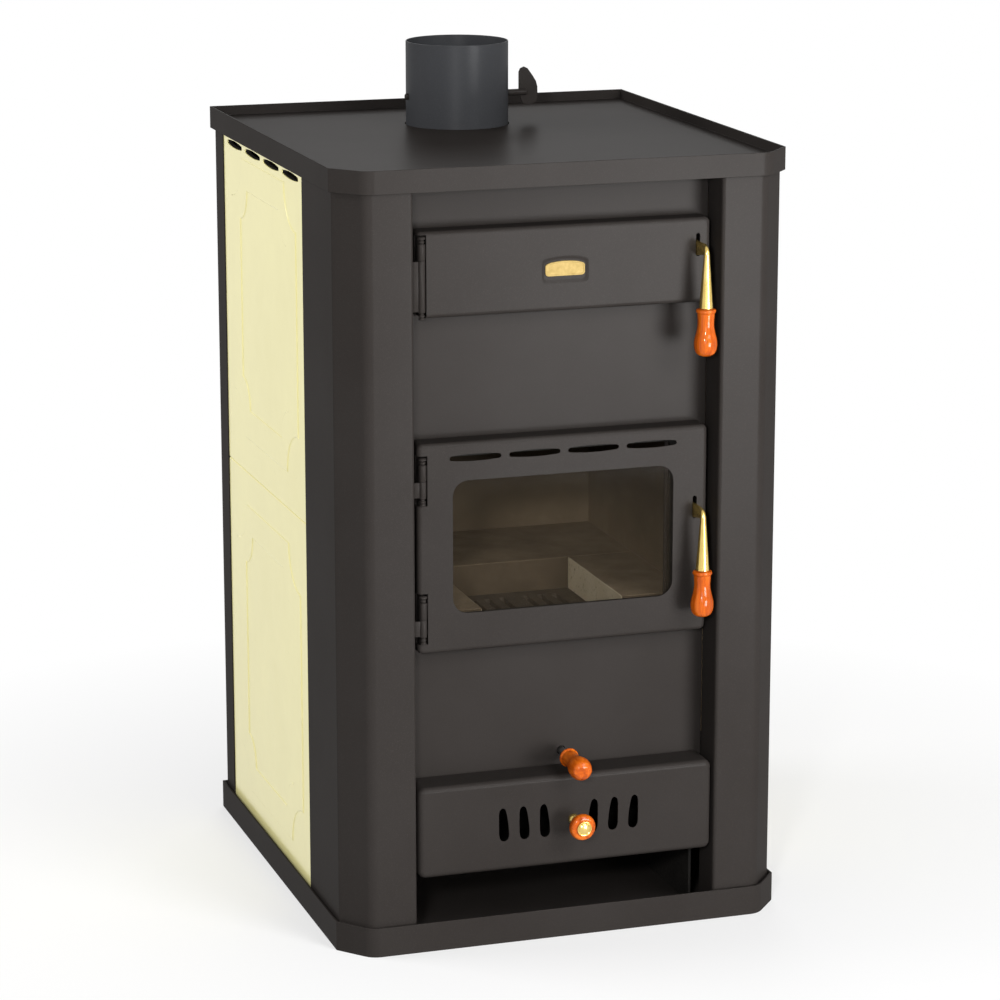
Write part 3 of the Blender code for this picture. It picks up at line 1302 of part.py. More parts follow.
def damper(finish):
    radius = FLUE_RADIUS - FLUE_WALL - DAMPER_CLEARANCE
    seat = FLUE_Y + SPINDLE_RADIUS + GAP
    disc = new_object("damper_disc", cylinder(
        radius, (0, 0, DAMPER_Z), "Y", seat, seat + DAMPER_PLATE, FINE), finish, smooth=True)
    left = -FLUE_RADIUS - SPINDLE_LEFT
    right = FLUE_RADIUS + SPINDLE_RIGHT
    soft = SPINDLE_RADIUS * 0.6
    profile = [
        (0.0, left), (soft, left), (SPINDLE_RADIUS, left + 0.0015),
        (SPINDLE_RADIUS, right - 0.0015), (soft, right), (0.0, right),
    ]
    rod = turned(profile, (0, FLUE_Y, DAMPER_Z), "X", SMALL)
    spindle = new_object("damper_spindle", rod, finish, smooth=True)
    start = FLUE_RADIUS + BLADE_START
    shape = [
        (0.0000, 0.0290), (0.0022, 0.0342), (0.0081, 0.0369), (0.0135, 0.0342), (0.0214, 0.0232),
        (0.0265, 0.0150), (0.0287, 0.0068), (0.0290, -0.0068), (0.0272, -0.0150), (0.0184, -0.0190),
        (0.0066, -0.0178), (0.0029, -0.0096), (0.0000, 0.0000),
    ]
    outline = [(start + a, DAMPER_Z + b) for a, b in shape]
    behind = FLUE_Y + SPINDLE_RADIUS * 0.4
    join(spindle, tool(prism(outline, "Y", behind, behind + BLADE)))
    return disc, spindle


# The whole stove

def build():
    for leftover in list(bpy.data.objects):
        bpy.data.objects.remove(leftover)
    mats = all_materials()

    base_tray(mats["casing"])
    top_tray(mats["casing"])
    for word, side in (("left", -1), ("right", 1)):
        front_post("front_post_" + word, side, mats["casing"])
        rear_post("rear_post_" + word, side, mats["casing"])
        tile_backing("tile_backing_" + word, side, mats["steel"])
    back_cover(mats["casing"])
    side_tiles(mats["enamel"])
    front_plate(mats["casing"])

    boiler_jacket(mats["steel"])
    firebox_shell(mats["steel"])
    water_sockets(mats["bare_steel"])
    baffle_plate(mats["steel"])
    ash_chamber(mats["steel"])
    hearth(mats["iron"], mats["brick"])
    flue_collar(mats["casing"])
    latch_catch("loading", LOADING_LATCH_Z, mats["steel"])
    latch_catch("fire", FIRE_LATCH_Z, mats["steel"])

    riddling = axis_empty("riddling_slide", (RIDDLE_X, PANEL_Y, RIDDLE_Z))
    carry(riddling, grate(mats["iron"]), riddling_rod(mats["bare_steel"]), riddling_grip(mats["wood"]))

    drawer = axis_empty("drawer_slide", (0.0, DRAWER_FACE, DRAWER_Z))
    front = drawer_front(mats["casing"])
    drawer_knob(mats["wood"], mats["brass"])
    knob = [bpy.data.objects[name] for name in ("drawer_knob", "drawer_knob_stud")]
    carry(drawer, front, drawer_box(mats["steel"]), *knob)

    upper = axis_empty("loading_door_axis", (HINGE_X, HINGE_Y, LOADING_DOOR_Z))
    carry(upper, *loading_door(mats), hinge("loading_hinge", LOADING_HINGE, mats["casing"]))
    carry(upper, latch_bracket("loading", LOADING_LATCH_Z, mats["steel"]))

    lower = axis_empty("fire_door_axis", (HINGE_X, HINGE_Y, FIRE_DOOR_Z))
    carry(lower, *fire_door(mats), hinge("fire_hinge_upper", FIRE_HINGE_UPPER, mats["casing"]))
    carry(lower, hinge("fire_hinge_lower", FIRE_HINGE_LOWER, mats["casing"]))
    carry(lower, latch_bracket("fire", FIRE_LATCH_Z, mats["steel"]))

    for prefix, z, door in (("loading", LOADING_LATCH_Z, upper), ("fire", FIRE_LATCH_Z, lower)):
        pivot = axis_empty(prefix + "_latch_axis", (LATCH_X, LATCH_Y, z))
        carry(door, pivot)
        carry(pivot, *latch(prefix, z, mats))

    spindle_axis = axis_empty("damper_axis", (0.0, FLUE_Y, DAMPER_Z))
    carry(spindle_axis, *damper(mats["casing"]))


build()
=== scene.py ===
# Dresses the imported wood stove: softened sheet metal, embossed glazed tiles, turned wood,
# brass and glass, with a plain pale studio and the photograph's camera. Metres, +Z up.

import json
from math import cos, pi, radians, sin

import bmesh
import bpy
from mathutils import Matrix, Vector
from mathutils.geometry import tessellate_polygon


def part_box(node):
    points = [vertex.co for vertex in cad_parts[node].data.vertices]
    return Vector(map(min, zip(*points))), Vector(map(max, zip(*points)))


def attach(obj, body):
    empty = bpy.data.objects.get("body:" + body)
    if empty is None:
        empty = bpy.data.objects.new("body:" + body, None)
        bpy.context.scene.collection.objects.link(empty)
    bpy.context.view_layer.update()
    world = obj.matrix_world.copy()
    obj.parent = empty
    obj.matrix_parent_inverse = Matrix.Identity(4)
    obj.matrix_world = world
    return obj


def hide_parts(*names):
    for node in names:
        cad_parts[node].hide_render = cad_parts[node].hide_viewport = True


# Camera, fitted to the photograph's 1000 x 1000 frame
CAMERA_PLACE = (-1.5639, -4.8227, 1.7883)
CAMERA_YAW = radians(18.11)
CAMERA_PITCH = radians(13.74)
CAMERA_FOCAL_PIXELS = 3572.0
CAMERA_REACH = 200.0
IMAGE_PIXELS = 1000.0
SENSOR = 36.0

# Light
WORLD_LEVEL = 0.22
WORLD_SEEN = 0.8
FLOOR_TONE = 0.45
FLOOR_SEEN = 0.92
SHADOW_SHARE = 0.45
SHADOW_NEAR = 0.5
SHADOW_FAR = 1.3
FLOOR_SIZE = 60.0
WHITE = (1.0, 1.0, 1.0, 1.0)
LAMP_TARGET = (0.0, 0.0, 0.6)
# Name, degrees to the right of the front, degrees up, metres away, side in metres, watts
LAMPS = (
    ("key", 22, 28, 3.2, 1.2, 43.0),
    ("sheen", 22, -3, 3.2, 1.0, 70.0),
    ("front", -16, 10, 4.6, 1.2, 18.0),
    ("left", -112, 28, 4.0, 2.0, 74.0),
    ("top", 162, 32, 3.4, 1.6, 28.0),
    ("spark", 8, 34, 3.6, 0.12, 5.0),
    ("kicker", -24, 16, 4.2, 0.30, 62.0))

# How much lighter than the paint its specks are
SPECK_GAIN = 2.1

# Softened edges
SHEET_EDGE = 0.0005
THIN_EDGE = 0.0003
BLOCK_EDGE = 0.0015
SMOOTH_ANGLE = radians(34)
FLAT_ANGLE = radians(0.5)
MERGE = 1e-6

# Turned pieces
LATHE_STEPS = 48
FLUE_STEPS = 96
PROFILE_STEPS = 5
CORNER_STEPS = 10
EDGE_STEPS = 4

# Tile relief
TILE_LIP = 0.006
TILE_EDGE_ROUND = 0.0016
TILE_CORNER = 0.004
RELIEF_HEIGHT = 0.0012
RELIEF_SLOPE = 0.0020
RELIEF_STEPS = (0.0, 0.2, 0.5, 0.8, 1.0)
BAND_FRONT_MARGIN = 0.037
BAND_REAR_MARGIN = 0.045
BAND_UPPER_MARGINS = (0.0525, 0.0377)
BAND_LOWER_MARGINS = (0.0712, 0.0492)
BAND_CUT = 0.062
BAND_WIDTH_Y = 0.051
BAND_WIDTH_Z = 0.044
PANEL_CUT_Y = 0.040
PANEL_CUT_Z = 0.045
TILE_SLOT_BELOW_TOP = 0.0249
TILE_SLOT_LENGTH = 0.086
TILE_SLOT_MIDDLE = 0.0100
TILE_SLOT_END = 0.0055
TILE_SLOT_PITCH = 0.105
TILE_SLOTS = 4
TILE_SLOT_LIP = 0.0008
TILE_SLOT_SHOULDER = 0.0002
TILE_SLOT_SHOULDER_SHARE = 0.35
# Dark sleeves that paint shade inside the tile's slots
TILE_SHADE_SLEEVE_INSET = 0.00015
TILE_SHADE_SLEEVE_DEPTH = 0.0014

# Flue and back
FLUE_RADIUS = 0.0750
FLUE_WALL = 0.0020
FLUE_FLANGE_RADIUS = 0.0897
FLUE_FLANGE_RISE = 0.0433
FLUE_FLANGE_THICKNESS = 0.0030
FLUE_LIP = 0.0005
FLUE_LIP_DROP = 0.0007
SOCKET_WALLS = {"flow_socket": 0.0031, "safety_socket": 0.0030, "return_socket": 0.0031}
SOCKET_CHAMFER = 0.0008
THREAD_START = 0.0004
THREAD_PITCH = 0.0023
THREAD_DEPTH = 0.0009
THREAD_TURNS = 6
# Radius and distance from the sheet
SCREW_HEAD = (
    (0.0, 0.0), (0.0045, 0.0), (0.0045, 0.0006), (0.0040, 0.0016), (0.0026, 0.0022),
    (0.0016, 0.0023), (0.0014, 0.0011), (0.0, 0.0011))
SCREW_X = 0.283
SCREW_LEVELS = (0.085, 0.320, 0.555, 0.790, 1.020)

# Hinges
HINGE_BARREL = 0.0050
HINGE_PIN = 0.0028
HINGE_PIN_SHORT = 0.0030
HINGE_PLAY = 0.0003
HINGE_LEAF = 0.0030
HINGE_LEAF_END = 0.0010
HINGE_LEAF_SEAM = 0.0012
HINGE_LEAF_EDGE = 0.0004
HINGE_TAB_ROOT = 0.0015
# Radius and height above the barrel's lower or upper end
HINGE_FOOT = (
    (0.0, -0.0105), (0.0034, -0.0105), (0.0042, -0.0100), (0.0044, -0.0090), (0.0042, -0.0078),
    (0.0033, -0.0071), (0.0033, -0.0067), (0.0040, -0.0060), (0.0043, -0.0048), (0.0040, -0.0036),
    (0.0029, -0.0027), (0.0028, -0.0012), (0.0042, -0.0004), (0.0048, 0.0), (0.0050, 0.0006))
HINGE_HEAD = (
    (0.0050, -0.0006), (0.0048, 0.0), (0.0040, 0.0003), (0.0029, 0.0010), (0.0029, 0.0015),
    (0.0037, 0.0020), (0.0042, 0.0028), (0.0042, 0.0037), (0.0037, 0.0046), (0.0028, 0.0052),
    (0.0028, 0.0059), (0.0044, 0.0063), (0.0053, 0.0068), (0.0055, 0.0078), (0.0053, 0.0088),
    (0.0045, 0.0097), (0.0030, 0.0103), (0.0, 0.0105))

# Latches and turned grips. The arm's points are (forward, up) from the latch's pin
LATCH_BAR_HALF = 0.0025
LATCH_ROOT = 0.0098
LATCH_OUT = 0.0450
LATCH_BEND = 0.0145
LATCH_ARM = (
    (-0.0175, -0.0023), (-0.0175, 0.0037), (-0.0070, 0.0037), (-0.0040, 0.0083), (0.0, 0.0098))
LATCH_ARM_UNDER = ((0.0120, -0.0098), (0.0, -0.0098), (-0.0045, -0.0080), (-0.0075, -0.0023))
LATCH_ARM_TUCK = 0.0012
LATCH_ARM_TUCK_UNDER = 0.0006
LATCH_ARM_EDGE = 0.0007
HORN_START = 0.0135
HORN_RADII = (0.0022, 0.0026, 0.0042)
CONE_TOP = -0.0050
CONE_NECK = 0.0020
CONE_BASE = -0.0785
CONE_BASE_RADIUS = 0.0096
CONE_EDGE_RISE = 0.0010
CONE_EDGE_IN = 0.0006
STEM_RADIUS = 0.0043
STEM_LENGTH = 0.0390
GRIP_GAP = 0.0003
# Radius and distance from the grip's stem end
GRIP_OUTLINE = (
    (0.0112, 0.0), (0.0130, 0.0006), (0.0137, 0.0022), (0.0135, 0.0042), (0.0124, 0.0056),
    (0.0119, 0.0068), (0.0117, 0.0110), (0.0113, 0.0190), (0.0118, 0.0260), (0.0132, 0.0335),
    (0.0150, 0.0400), (0.0159, 0.0460), (0.0159, 0.0510), (0.0149, 0.0568), (0.0126, 0.0616),
    (0.0086, 0.0644), (0.0040, 0.0653), (0.0, 0.0655))
# The middle of the riddling grip's rear face
RIDDLE_REAR = (0.009, -0.32098, 0.25251)
RIDDLE_DROOP = radians(2.0)
RIDDLE_STEM_RADIUS = 0.0050

# Drawer knob, as radius and distance from the drawer's face
KNOB_BORE = 0.0045
KNOB_OUTLINE = (
    (0.0100, 0.0290), (0.0136, 0.0296), (0.0164, 0.0316), (0.0180, 0.0342), (0.0186, 0.0374),
    (0.0183, 0.0404), (0.0171, 0.0430), (0.0150, 0.0446), (0.0124, 0.0452))
STUD_PROFILE = (
    (0.0, -0.0053), (0.0072, -0.0053), (0.0078, -0.0048), (0.0078, -0.0028), (0.0072, -0.0023),
    (0.0042, -0.0023), (0.0042, 0.0003), (0.0074, 0.0003), (0.0078, 0.0008), (0.0077, 0.0020),
    (0.0070, 0.0040), (0.0056, 0.0058), (0.0045, 0.0072), (0.0041, 0.0090), (0.0042, 0.0455),
    (0.0098, 0.0455), (0.0106, 0.0459), (0.0106, 0.0470), (0.0103, 0.0477), (0.0097, 0.0479),
    (0.0090, 0.0477), (0.0085, 0.0473), (0.0079, 0.0479), (0.0066, 0.0488), (0.0049, 0.0495),
    (0.0028, 0.0500), (0.0, 0.0502))

# Badge, and the pressed seat round it
BADGE_ARCH = 0.0030
BADGE_CORNER = 0.005
BADGE_ARCH_STEPS = 8
# Inset and depth behind the badge's face
BADGE_RIM = ((0.0, 0.0003), (0.0003, 0.0), (0.0017, 0.0), (0.0022, 0.0005))
SEAT_BESIDE = 0.0058
SEAT_BELOW = 0.01005
SEAT_ABOVE = 0.00695
SEAT_CORNER = 0.009
SEAT_CORNER_SHARE = 0.8
SEAT_DEPTH = 0.00115
SEAT_SLOPE = 0.0052
SEAT_PROUD = 0.00002

# Rope seals
ROPE_CORNER = 0.016
ROPE_SIDES = 12
ROPE_STEP = 0.004
ROPE_STRANDS = 3
ROPE_TWIST = 0.032
ROPE_RELIEF = 0.10


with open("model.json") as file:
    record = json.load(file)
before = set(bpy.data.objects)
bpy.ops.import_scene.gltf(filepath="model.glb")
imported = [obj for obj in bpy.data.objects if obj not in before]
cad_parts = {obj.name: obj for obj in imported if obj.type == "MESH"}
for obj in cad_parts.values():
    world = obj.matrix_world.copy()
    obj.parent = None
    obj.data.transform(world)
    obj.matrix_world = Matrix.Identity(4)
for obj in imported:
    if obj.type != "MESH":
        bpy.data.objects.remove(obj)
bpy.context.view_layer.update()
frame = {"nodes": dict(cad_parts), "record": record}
nodes = frame["nodes"]


# Node graphs

class Graph:
    """The node tree of a material or a world, with short ways to add and join nodes."""

    def __init__(self, owner):
        owner.use_nodes = True
        self.owner = owner
        self.tree = owner.node_tree
        self.shader = self.tree.nodes.get("Principled BSDF")

    def add(self, kind, settings=None, **inputs):
        node = self.tree.nodes.new("ShaderNode" + kind)
        for key, value in (settings or {}).items():
            setattr(node, key, value)
        for key, value in inputs.items():
            self.feed(node.inputs[key.replace("_", " ")], value)
        return node

    def feed(self, socket, value):
        if isinstance(value, bpy.types.NodeSocket):
            self.tree.links.new(value, socket)
        else:
            socket.default_value = value

    def place(self, scale=(1.0, 1.0, 1.0)):
        coordinates = self.add("TexCoord")
        return self.add("Mapping", Vector=coordinates.outputs["Object"], Scale=scale).outputs["Vector"]

    def noise(self, scale, detail=3.0, roughness=0.55, stretch=(1.0, 1.0, 1.0), distortion=0.0):
        node = self.add(
            "TexNoise", Vector=self.place(stretch), Scale=scale, Detail=detail, Roughness=roughness,
            Distortion=distortion)
        return node.outputs["Fac"]

    def ramp(self, factor, *stops):
        node = self.add("ValToRGB", Fac=factor)
        elements = node.color_ramp.elements
        while len(elements) < len(stops):
            elements.new(0.5)
        for element, (position, colour) in zip(elements, stops):
            element.position = position
            element.color = (*colour, 1.0)
        return node.outputs["Color"]

    def range(self, factor, low, high, start=0.3, end=0.7):
        node = self.add("MapRange")
        self.feed(node.inputs["Value"], factor)
        for key, value in (("From Min", start), ("From Max", end), ("To Min", low), ("To Max", high)):
            node.inputs[key].default_value = value
        return node.outputs["Result"]

    def blend(self, factor, first, second):
        node = self.add("Mix", {"data_type": "RGBA"})
        self.feed(node.inputs[0], factor)
        self.feed(node.inputs[6], first)
        self.feed(node.inputs[7], second)
        return node.outputs[2]

    def larger(self, first, second):
        node = self.add("Math", {"operation": "MAXIMUM"})
        self.feed(node.inputs[0], first)
        self.feed(node.inputs[1], second)
        return node.outputs[0]

    def mix_shaders(self, factor, first, second):
        node = self.add("MixShader")
        for socket, value in zip(node.inputs, (factor, first, second)):
            self.feed(socket, value)
        return node.outputs[0]

    def bump(self, *layers):
        """Layers are (height, strength, distance), the broadest first."""
        normal = None
        for height, strength, distance in layers:
            node = self.add("Bump", Height=height, Strength=strength, Distance=distance)
            if normal is not None:
                self.feed(node.inputs["Normal"], normal)
            normal = node.outputs["Normal"]
        self.feed(self.shader.inputs["Normal"], normal)

    def finish(self, colour, roughness, **fixed):
        self.feed(self.shader.inputs["Base Color"], colour)
        self.feed(self.shader.inputs["Roughness"], roughness)
        for key, value in fixed.items():
            self.feed(self.shader.inputs[key.replace("_", " ")], value)
        return self.owner

    def show(self, shader, output):
        self.feed(self.tree.nodes[output].inputs["Surface"], shader)


def new_material(name):
    return Graph(bpy.data.materials.new(name))


# Materials

def stove_paint(name, dark, light, sheen):
    g = new_material(name)
    cloud = g.noise(5.0, 4.0)
    speck = g.noise(900.0, 2.0, 0.6)
    bright = tuple(SPECK_GAIN * channel for channel in light)
    colour = g.ramp(cloud, (0.30, dark), (0.72, light))
    colour = g.blend(g.range(speck, 0.0, 0.35, 0.56, 0.72), colour, (*bright, 1.0))
    g.bump((g.noise(9.0, 2.0), 0.10, 0.002), (speck, 0.22, 0.00012))
    return g.finish(colour, g.range(g.noise(14.0, 5.0), 0.50, 0.60), Specular_IOR_Level=0.0,
                    Coat_Weight=sheen, Coat_Roughness=0.33)


def glazed_tile():
    g = new_material("cream_glaze")
    cloud = g.noise(7.0, 3.0)
    colour = g.ramp(cloud, (0.30, (0.900, 0.825, 0.375)), (0.70, (0.930, 0.860, 0.410)))
    pits = g.noise(240.0, 2.0, 0.5)
    colour = g.blend(g.range(pits, 0.0, 0.22, 0.66, 0.80), colour, (0.64, 0.54, 0.24, 1.0))
    g.bump((g.noise(26.0, 2.0), 0.08, 0.0012), (g.noise(150.0, 2.0), 0.08, 0.0003))
    return g.finish(colour, g.range(cloud, 0.16, 0.24), Specular_IOR_Level=0.35)


def polished_brass():
    g = new_material("polished_brass")
    tarnish = g.noise(60.0, 4.0)
    scratch = g.noise(220.0, 2.0, 0.5, (1.0, 1.0, 0.25))
    colour = g.ramp(tarnish, (0.30, (0.66, 0.46, 0.12)), (0.70, (0.80, 0.60, 0.21)))
    g.bump((tarnish, 0.03, 0.0004))
    return g.finish(colour, g.range(scratch, 0.18, 0.26), Metallic=0.9)


def cast_brass():
    g = new_material("cast_brass")
    cloud = g.noise(130.0, 4.0, 0.6)
    colour = g.ramp(cloud, (0.30, (0.30, 0.210, 0.064)), (0.70, (0.45, 0.325, 0.120)))
    g.bump((cloud, 0.20, 0.0004))
    return g.finish(colour, g.range(cloud, 0.50, 0.62), Metallic=0.25, Specular_IOR_Level=0.2)


def turned_wood(name, stretch):
    g = new_material(name)
    grain = g.noise(90.0, 4.0, 0.6, stretch, 0.6)
    pores = g.noise(420.0, 2.0, 0.7, stretch)
    colour = g.ramp(
        grain, (0.28, (0.25, 0.034, 0.002)), (0.50, (0.50, 0.088, 0.004)), (0.74, (0.70, 0.165, 0.010)))
    colour = g.blend(g.range(pores, 0.0, 0.55, 0.60, 0.74), colour, (0.15, 0.026, 0.003, 1.0))
    g.bump((pores, 0.06, 0.0002))
    return g.finish(colour, g.range(grain, 0.30, 0.44), Specular_IOR_Level=0.0, Coat_Weight=0.50,
                    Coat_Roughness=0.06)


def door_glass():
    g = new_material("smoked_glass")
    soot_and_shade = g.noise(6.0, 3.0, 0.5)
    colour = g.ramp(soot_and_shade, (0.30, (0.030, 0.023, 0.015)), (0.75, (0.060, 0.046, 0.030)))
    return g.finish(colour, g.range(soot_and_shade, 0.05, 0.12), Alpha=0.14, Specular_IOR_Level=0.1)


def seal_rope():
    g = new_material("seal_rope")
    strand = g.add("TexWave", {"bands_direction": "DIAGONAL"}, Vector=g.place(), Scale=190.0, Distortion=1.2,
                   Detail=2.0)
    fibre = g.noise(1500.0, 2.0)
    # Painted shade: the colour darkens into the grooves between the strands, where the bump sinks
    colour = g.ramp(strand.outputs["Fac"], (0.15, (0.070, 0.065, 0.060)), (0.85, (0.230, 0.220, 0.200)))
    g.bump((strand.outputs["Fac"], 0.5, 0.0008), (fibre, 0.4, 0.0003))
    return g.finish(colour, g.range(fibre, 0.85, 1.0), Specular_IOR_Level=0.2)


def firebrick():
    """Painted light and shade: pale sides facing across the hearth, brown shade on top, blackest shade in
    front.
    """
    g = new_material("firebrick")
    cloud = g.noise(18.0, 5.0, 0.65)
    pore = g.noise(160.0, 3.0, 0.6)
    colour = g.ramp(cloud, (0.28, (0.80, 0.67, 0.45)), (0.72, (0.92, 0.80, 0.57)))
    colour = g.blend(g.range(pore, 0.0, 0.7, 0.60, 0.72), colour, (0.17, 0.12, 0.07, 1.0))
    # Painted light and shade by the way each face points: the sides across the hearth pale as if lit, tops
    # and fronts dark as if shaded
    facing = g.add("SeparateXYZ", Vector=g.add("TexCoord").outputs["Normal"])
    across, up = (
        g.add("Math", {"operation": "ABSOLUTE"}, Value=facing.outputs[axis]).outputs[0]
        for axis in ("X", "Z"))
    # These darker colours are painted shade: the black for the front faces, the brown for the tops
    soot_and_shade = g.ramp(cloud, (0.30, (0.070, 0.051, 0.031)), (0.70, (0.125, 0.091, 0.057)))
    ash_and_shade = g.ramp(cloud, (0.30, (0.170, 0.126, 0.079)), (0.70, (0.290, 0.218, 0.137)))
    soot_and_shade = g.blend(g.range(up, 0.0, 1.0, 0.35, 0.85), soot_and_shade, ash_and_shade)
    colour = g.blend(g.range(across, 0.0, 1.0, 0.35, 0.85), soot_and_shade, colour)
    g.bump((cloud, 0.5, 0.002), (pore, 0.6, 0.0008))
    return g.finish(colour, g.range(pore, 0.85, 1.0), Specular_IOR_Level=0.2)


def cast_iron():
    g = new_material("cast_iron")
    cloud = g.noise(30.0, 5.0)
    sand = g.noise(700.0, 3.0, 0.6)
    colour = g.ramp(cloud, (0.30, (0.040, 0.031, 0.022)), (0.70, (0.090, 0.068, 0.047)))
    g.bump((cloud, 0.3, 0.001), (sand, 0.5, 0.0003))
    return g.finish(colour, g.range(sand, 0.62, 0.85), Metallic=0.2)


def fire_steel_with_painted_shade():
    """Brown from the fire, with painted shade that turns it blacker towards the top."""
    g = new_material("fire_steel_with_painted_shade")
    cloud = g.noise(6.0, 6.0, 0.62)
    ash_and_shade = g.noise(50.0, 4.0, 0.6)
    colour = g.ramp(cloud, (0.28, (0.165, 0.120, 0.072)), (0.72, (0.310, 0.232, 0.145)))
    colour = g.blend(g.range(ash_and_shade, 0.0, 0.35, 0.55, 0.75), colour, (0.380, 0.295, 0.190, 1.0))
    # Painted shade: the steel is painted blacker above a set height
    height = g.add("SeparateXYZ", Vector=g.add("TexCoord").outputs["Object"]).outputs["Z"]
    colour = g.blend(g.range(height, 0.0, 0.90, 0.43, 0.58), colour, (0.022, 0.017, 0.013, 1.0))
    g.bump((cloud, 0.3, 0.002), (ash_and_shade, 0.3, 0.0005))
    return g.finish(colour, g.range(ash_and_shade, 0.70, 0.92), Specular_IOR_Level=0.1)


def mill_scale():
    g = new_material("mill_scale")
    cloud = g.noise(12.0, 5.0, 0.6)
    flake = g.noise(260.0, 3.0, 0.6)
    colour = g.ramp(cloud, (0.30, (0.010, 0.0095, 0.009)), (0.72, (0.022, 0.020, 0.018)))
    colour = g.blend(g.range(flake, 0.0, 0.4, 0.60, 0.75), colour, (0.045, 0.038, 0.032, 1.0))
    g.bump((cloud, 0.2, 0.001), (flake, 0.3, 0.0003))
    return g.finish(colour, g.range(flake, 0.45, 0.70), Specular_IOR_Level=0.15)


def bare_steel():
    g = new_material("bare_steel")
    cloud = g.noise(40.0, 4.0)
    lines = g.noise(900.0, 2.0, 0.5, (1.0, 0.05, 1.0))
    colour = g.ramp(cloud, (0.30, (0.26, 0.25, 0.24)), (0.70, (0.46, 0.45, 0.43)))
    g.bump((lines, 0.15, 0.0001))
    return g.finish(colour, g.range(lines, 0.28, 0.46), Metallic=1.0)


paint = stove_paint("charcoal_paint", (0.025, 0.0215, 0.0196), (0.030, 0.0264, 0.0245), 0.10)
# The flue's paint is a lighter, bluer copy of the charcoal paint: painted light, beside its stronger coat
lit_flue_paint = stove_paint("lit_flue_paint", (0.038, 0.0390, 0.0420), (0.045, 0.0465, 0.0505), 0.22)
glaze = glazed_tile()
brass = polished_brass()
plate_brass = cast_brass()
wood_upright = turned_wood("turned_wood_upright", (1.0, 1.0, 0.10))
wood_level = turned_wood("turned_wood_level", (1.0, 0.10, 1.0))
glass = door_glass()
rope = seal_rope()
brick = firebrick()
iron = cast_iron()
plate = fire_steel_with_painted_shade()
scale = mill_scale()
steel = bare_steel()


# Mesh helpers

def link(name, bm, material, smooth=True):
    bmesh.ops.recalc_face_normals(bm, faces=bm.faces)
    mesh = bpy.data.meshes.new(name)
    bm.to_mesh(mesh)
    bm.free()
    mesh.materials.append(material)
    if smooth:
        mesh.shade_smooth()
        mesh.set_sharp_from_angle(angle=SMOOTH_ANGLE)
    made = bpy.data.objects.new(name, mesh)
    bpy.context.scene.collection.objects.link(made)
    return made


def soften(piece, width):
    bevel = piece.modifiers.new("soften", "BEVEL")
    bevel.width = width
    bevel.segments = 2
    bevel.limit_method = "ANGLE"
    bevel.angle_limit = SMOOTH_ANGLE


def even(piece):
    """Normals weighted by face area keep flat sheets flat beside their rounds."""
    weighted = piece.modifiers.new("even", "WEIGHTED_NORMAL")
    weighted.keep_sharp = True
    return piece


def box(name):
    """The two corners of a CAD node's box."""
    return [Vector(corner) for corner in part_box(name)]


def ease(t):
    """Goes from 0 to 1 with a level start and end."""
    return t * t * (3 - 2 * t)


def stands_for(piece, *names):
    """The piece moves with the first node's body, and the nodes it stands for are hidden."""
    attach(piece, body_of[names[0]])
    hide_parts(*names)
    return piece


def dress(name, material, edge):
    """A copy of a CAD node with clean faces, softened edges and smooth rounds."""
    bm = bmesh.new()
    bm.from_mesh(nodes[name].data)
    bmesh.ops.remove_doubles(bm, verts=bm.verts, dist=MERGE)
    bmesh.ops.dissolve_limit(bm, angle_limit=FLAT_ANGLE, verts=bm.verts, edges=bm.edges)
    piece = link(name + "_skin", bm, material)
    soften(piece, edge)
    return stands_for(even(piece), name)


def add_loft(bm, loops, closed=False, caps=False):
    """Joins loops of equal counts, or single points, into one surface and returns its faces."""
    rows = [[bm.verts.new(point) for point in loop] for loop in loops]
    pairs = list(zip(rows, rows[1:]))
    if closed:
        pairs.append((rows[-1], rows[0]))
    faces = []
    for low, high in pairs:
        count = max(len(low), len(high))
        for i in range(count):
            j = i + 1
            corners = (low[i % len(low)], low[j % len(low)], high[j % len(high)], high[i % len(high)])
            faces.append(bm.faces.new(list(dict.fromkeys(corners))))
    if caps:
        faces += [bm.faces.new(rows[0]), bm.faces.new(rows[-1])]
    return faces


def add_block(bm, near, far, edge):
    """A solid between two outlines, with its sharp edges rounded off."""
    faces = add_loft(bm, [near, far], caps=True)
    bmesh.ops.recalc_face_normals(bm, faces=faces)
    edges = dict.fromkeys(e for face in faces for e in face.edges)
    sharp = [e for e in edges if e.calc_face_angle(0.0) > SMOOTH_ANGLE]
    bmesh.ops.bevel(bm, geom=sharp, offset=edge, segments=2, profile=0.5, affect="EDGES")


def add_lathe(bm, profile, origin, direction, steps=LATHE_STEPS):
    """A profile of (radius, distance) turned about a direction; it ends in poles or closes on itself."""
    axis = Vector(direction).normalized()
    turn = Vector((0, 0, 1)).rotation_difference(axis).to_matrix()
    loops = []
    for radius, along in profile:
        middle = Vector(origin) + axis * along
        count = steps if radius > MERGE else 1
        angles = [2 * pi * i / steps for i in range(count)]
        loops.append([
            tuple(middle + turn @ Vector((radius * cos(a), radius * sin(a), 0))) for a in angles])
    return add_loft(bm, loops, closed=len(loops[0]) > 1)


def smooth_profile(points):
    """A Catmull-Rom curve through the points."""
    ends = [points[0]] + list(points) + [points[-1]]

    def between(before, start, end, after, t):
        return 0.5 * (2 * start + (end - before) * t + (2 * before - 5 * start + 4 * end - after) * t * t
                      + (3 * start - before - 3 * end + after) * t ** 3)

    curve = []
    for four in zip(ends, ends[1:], ends[2:], ends[3:]):
        for i in range(PROFILE_STEPS):
            t = i / PROFILE_STEPS
            curve.append(tuple(between(*values, t) for values in zip(*four)))
    curve.append(points[-1])
    return curve


def turned(name, profile, origin, direction, material, *names, steps=LATHE_STEPS):
    bm = bmesh.new()
    add_lathe(bm, profile, origin, direction, steps)
    return stands_for(link(name, bm, material), *names)


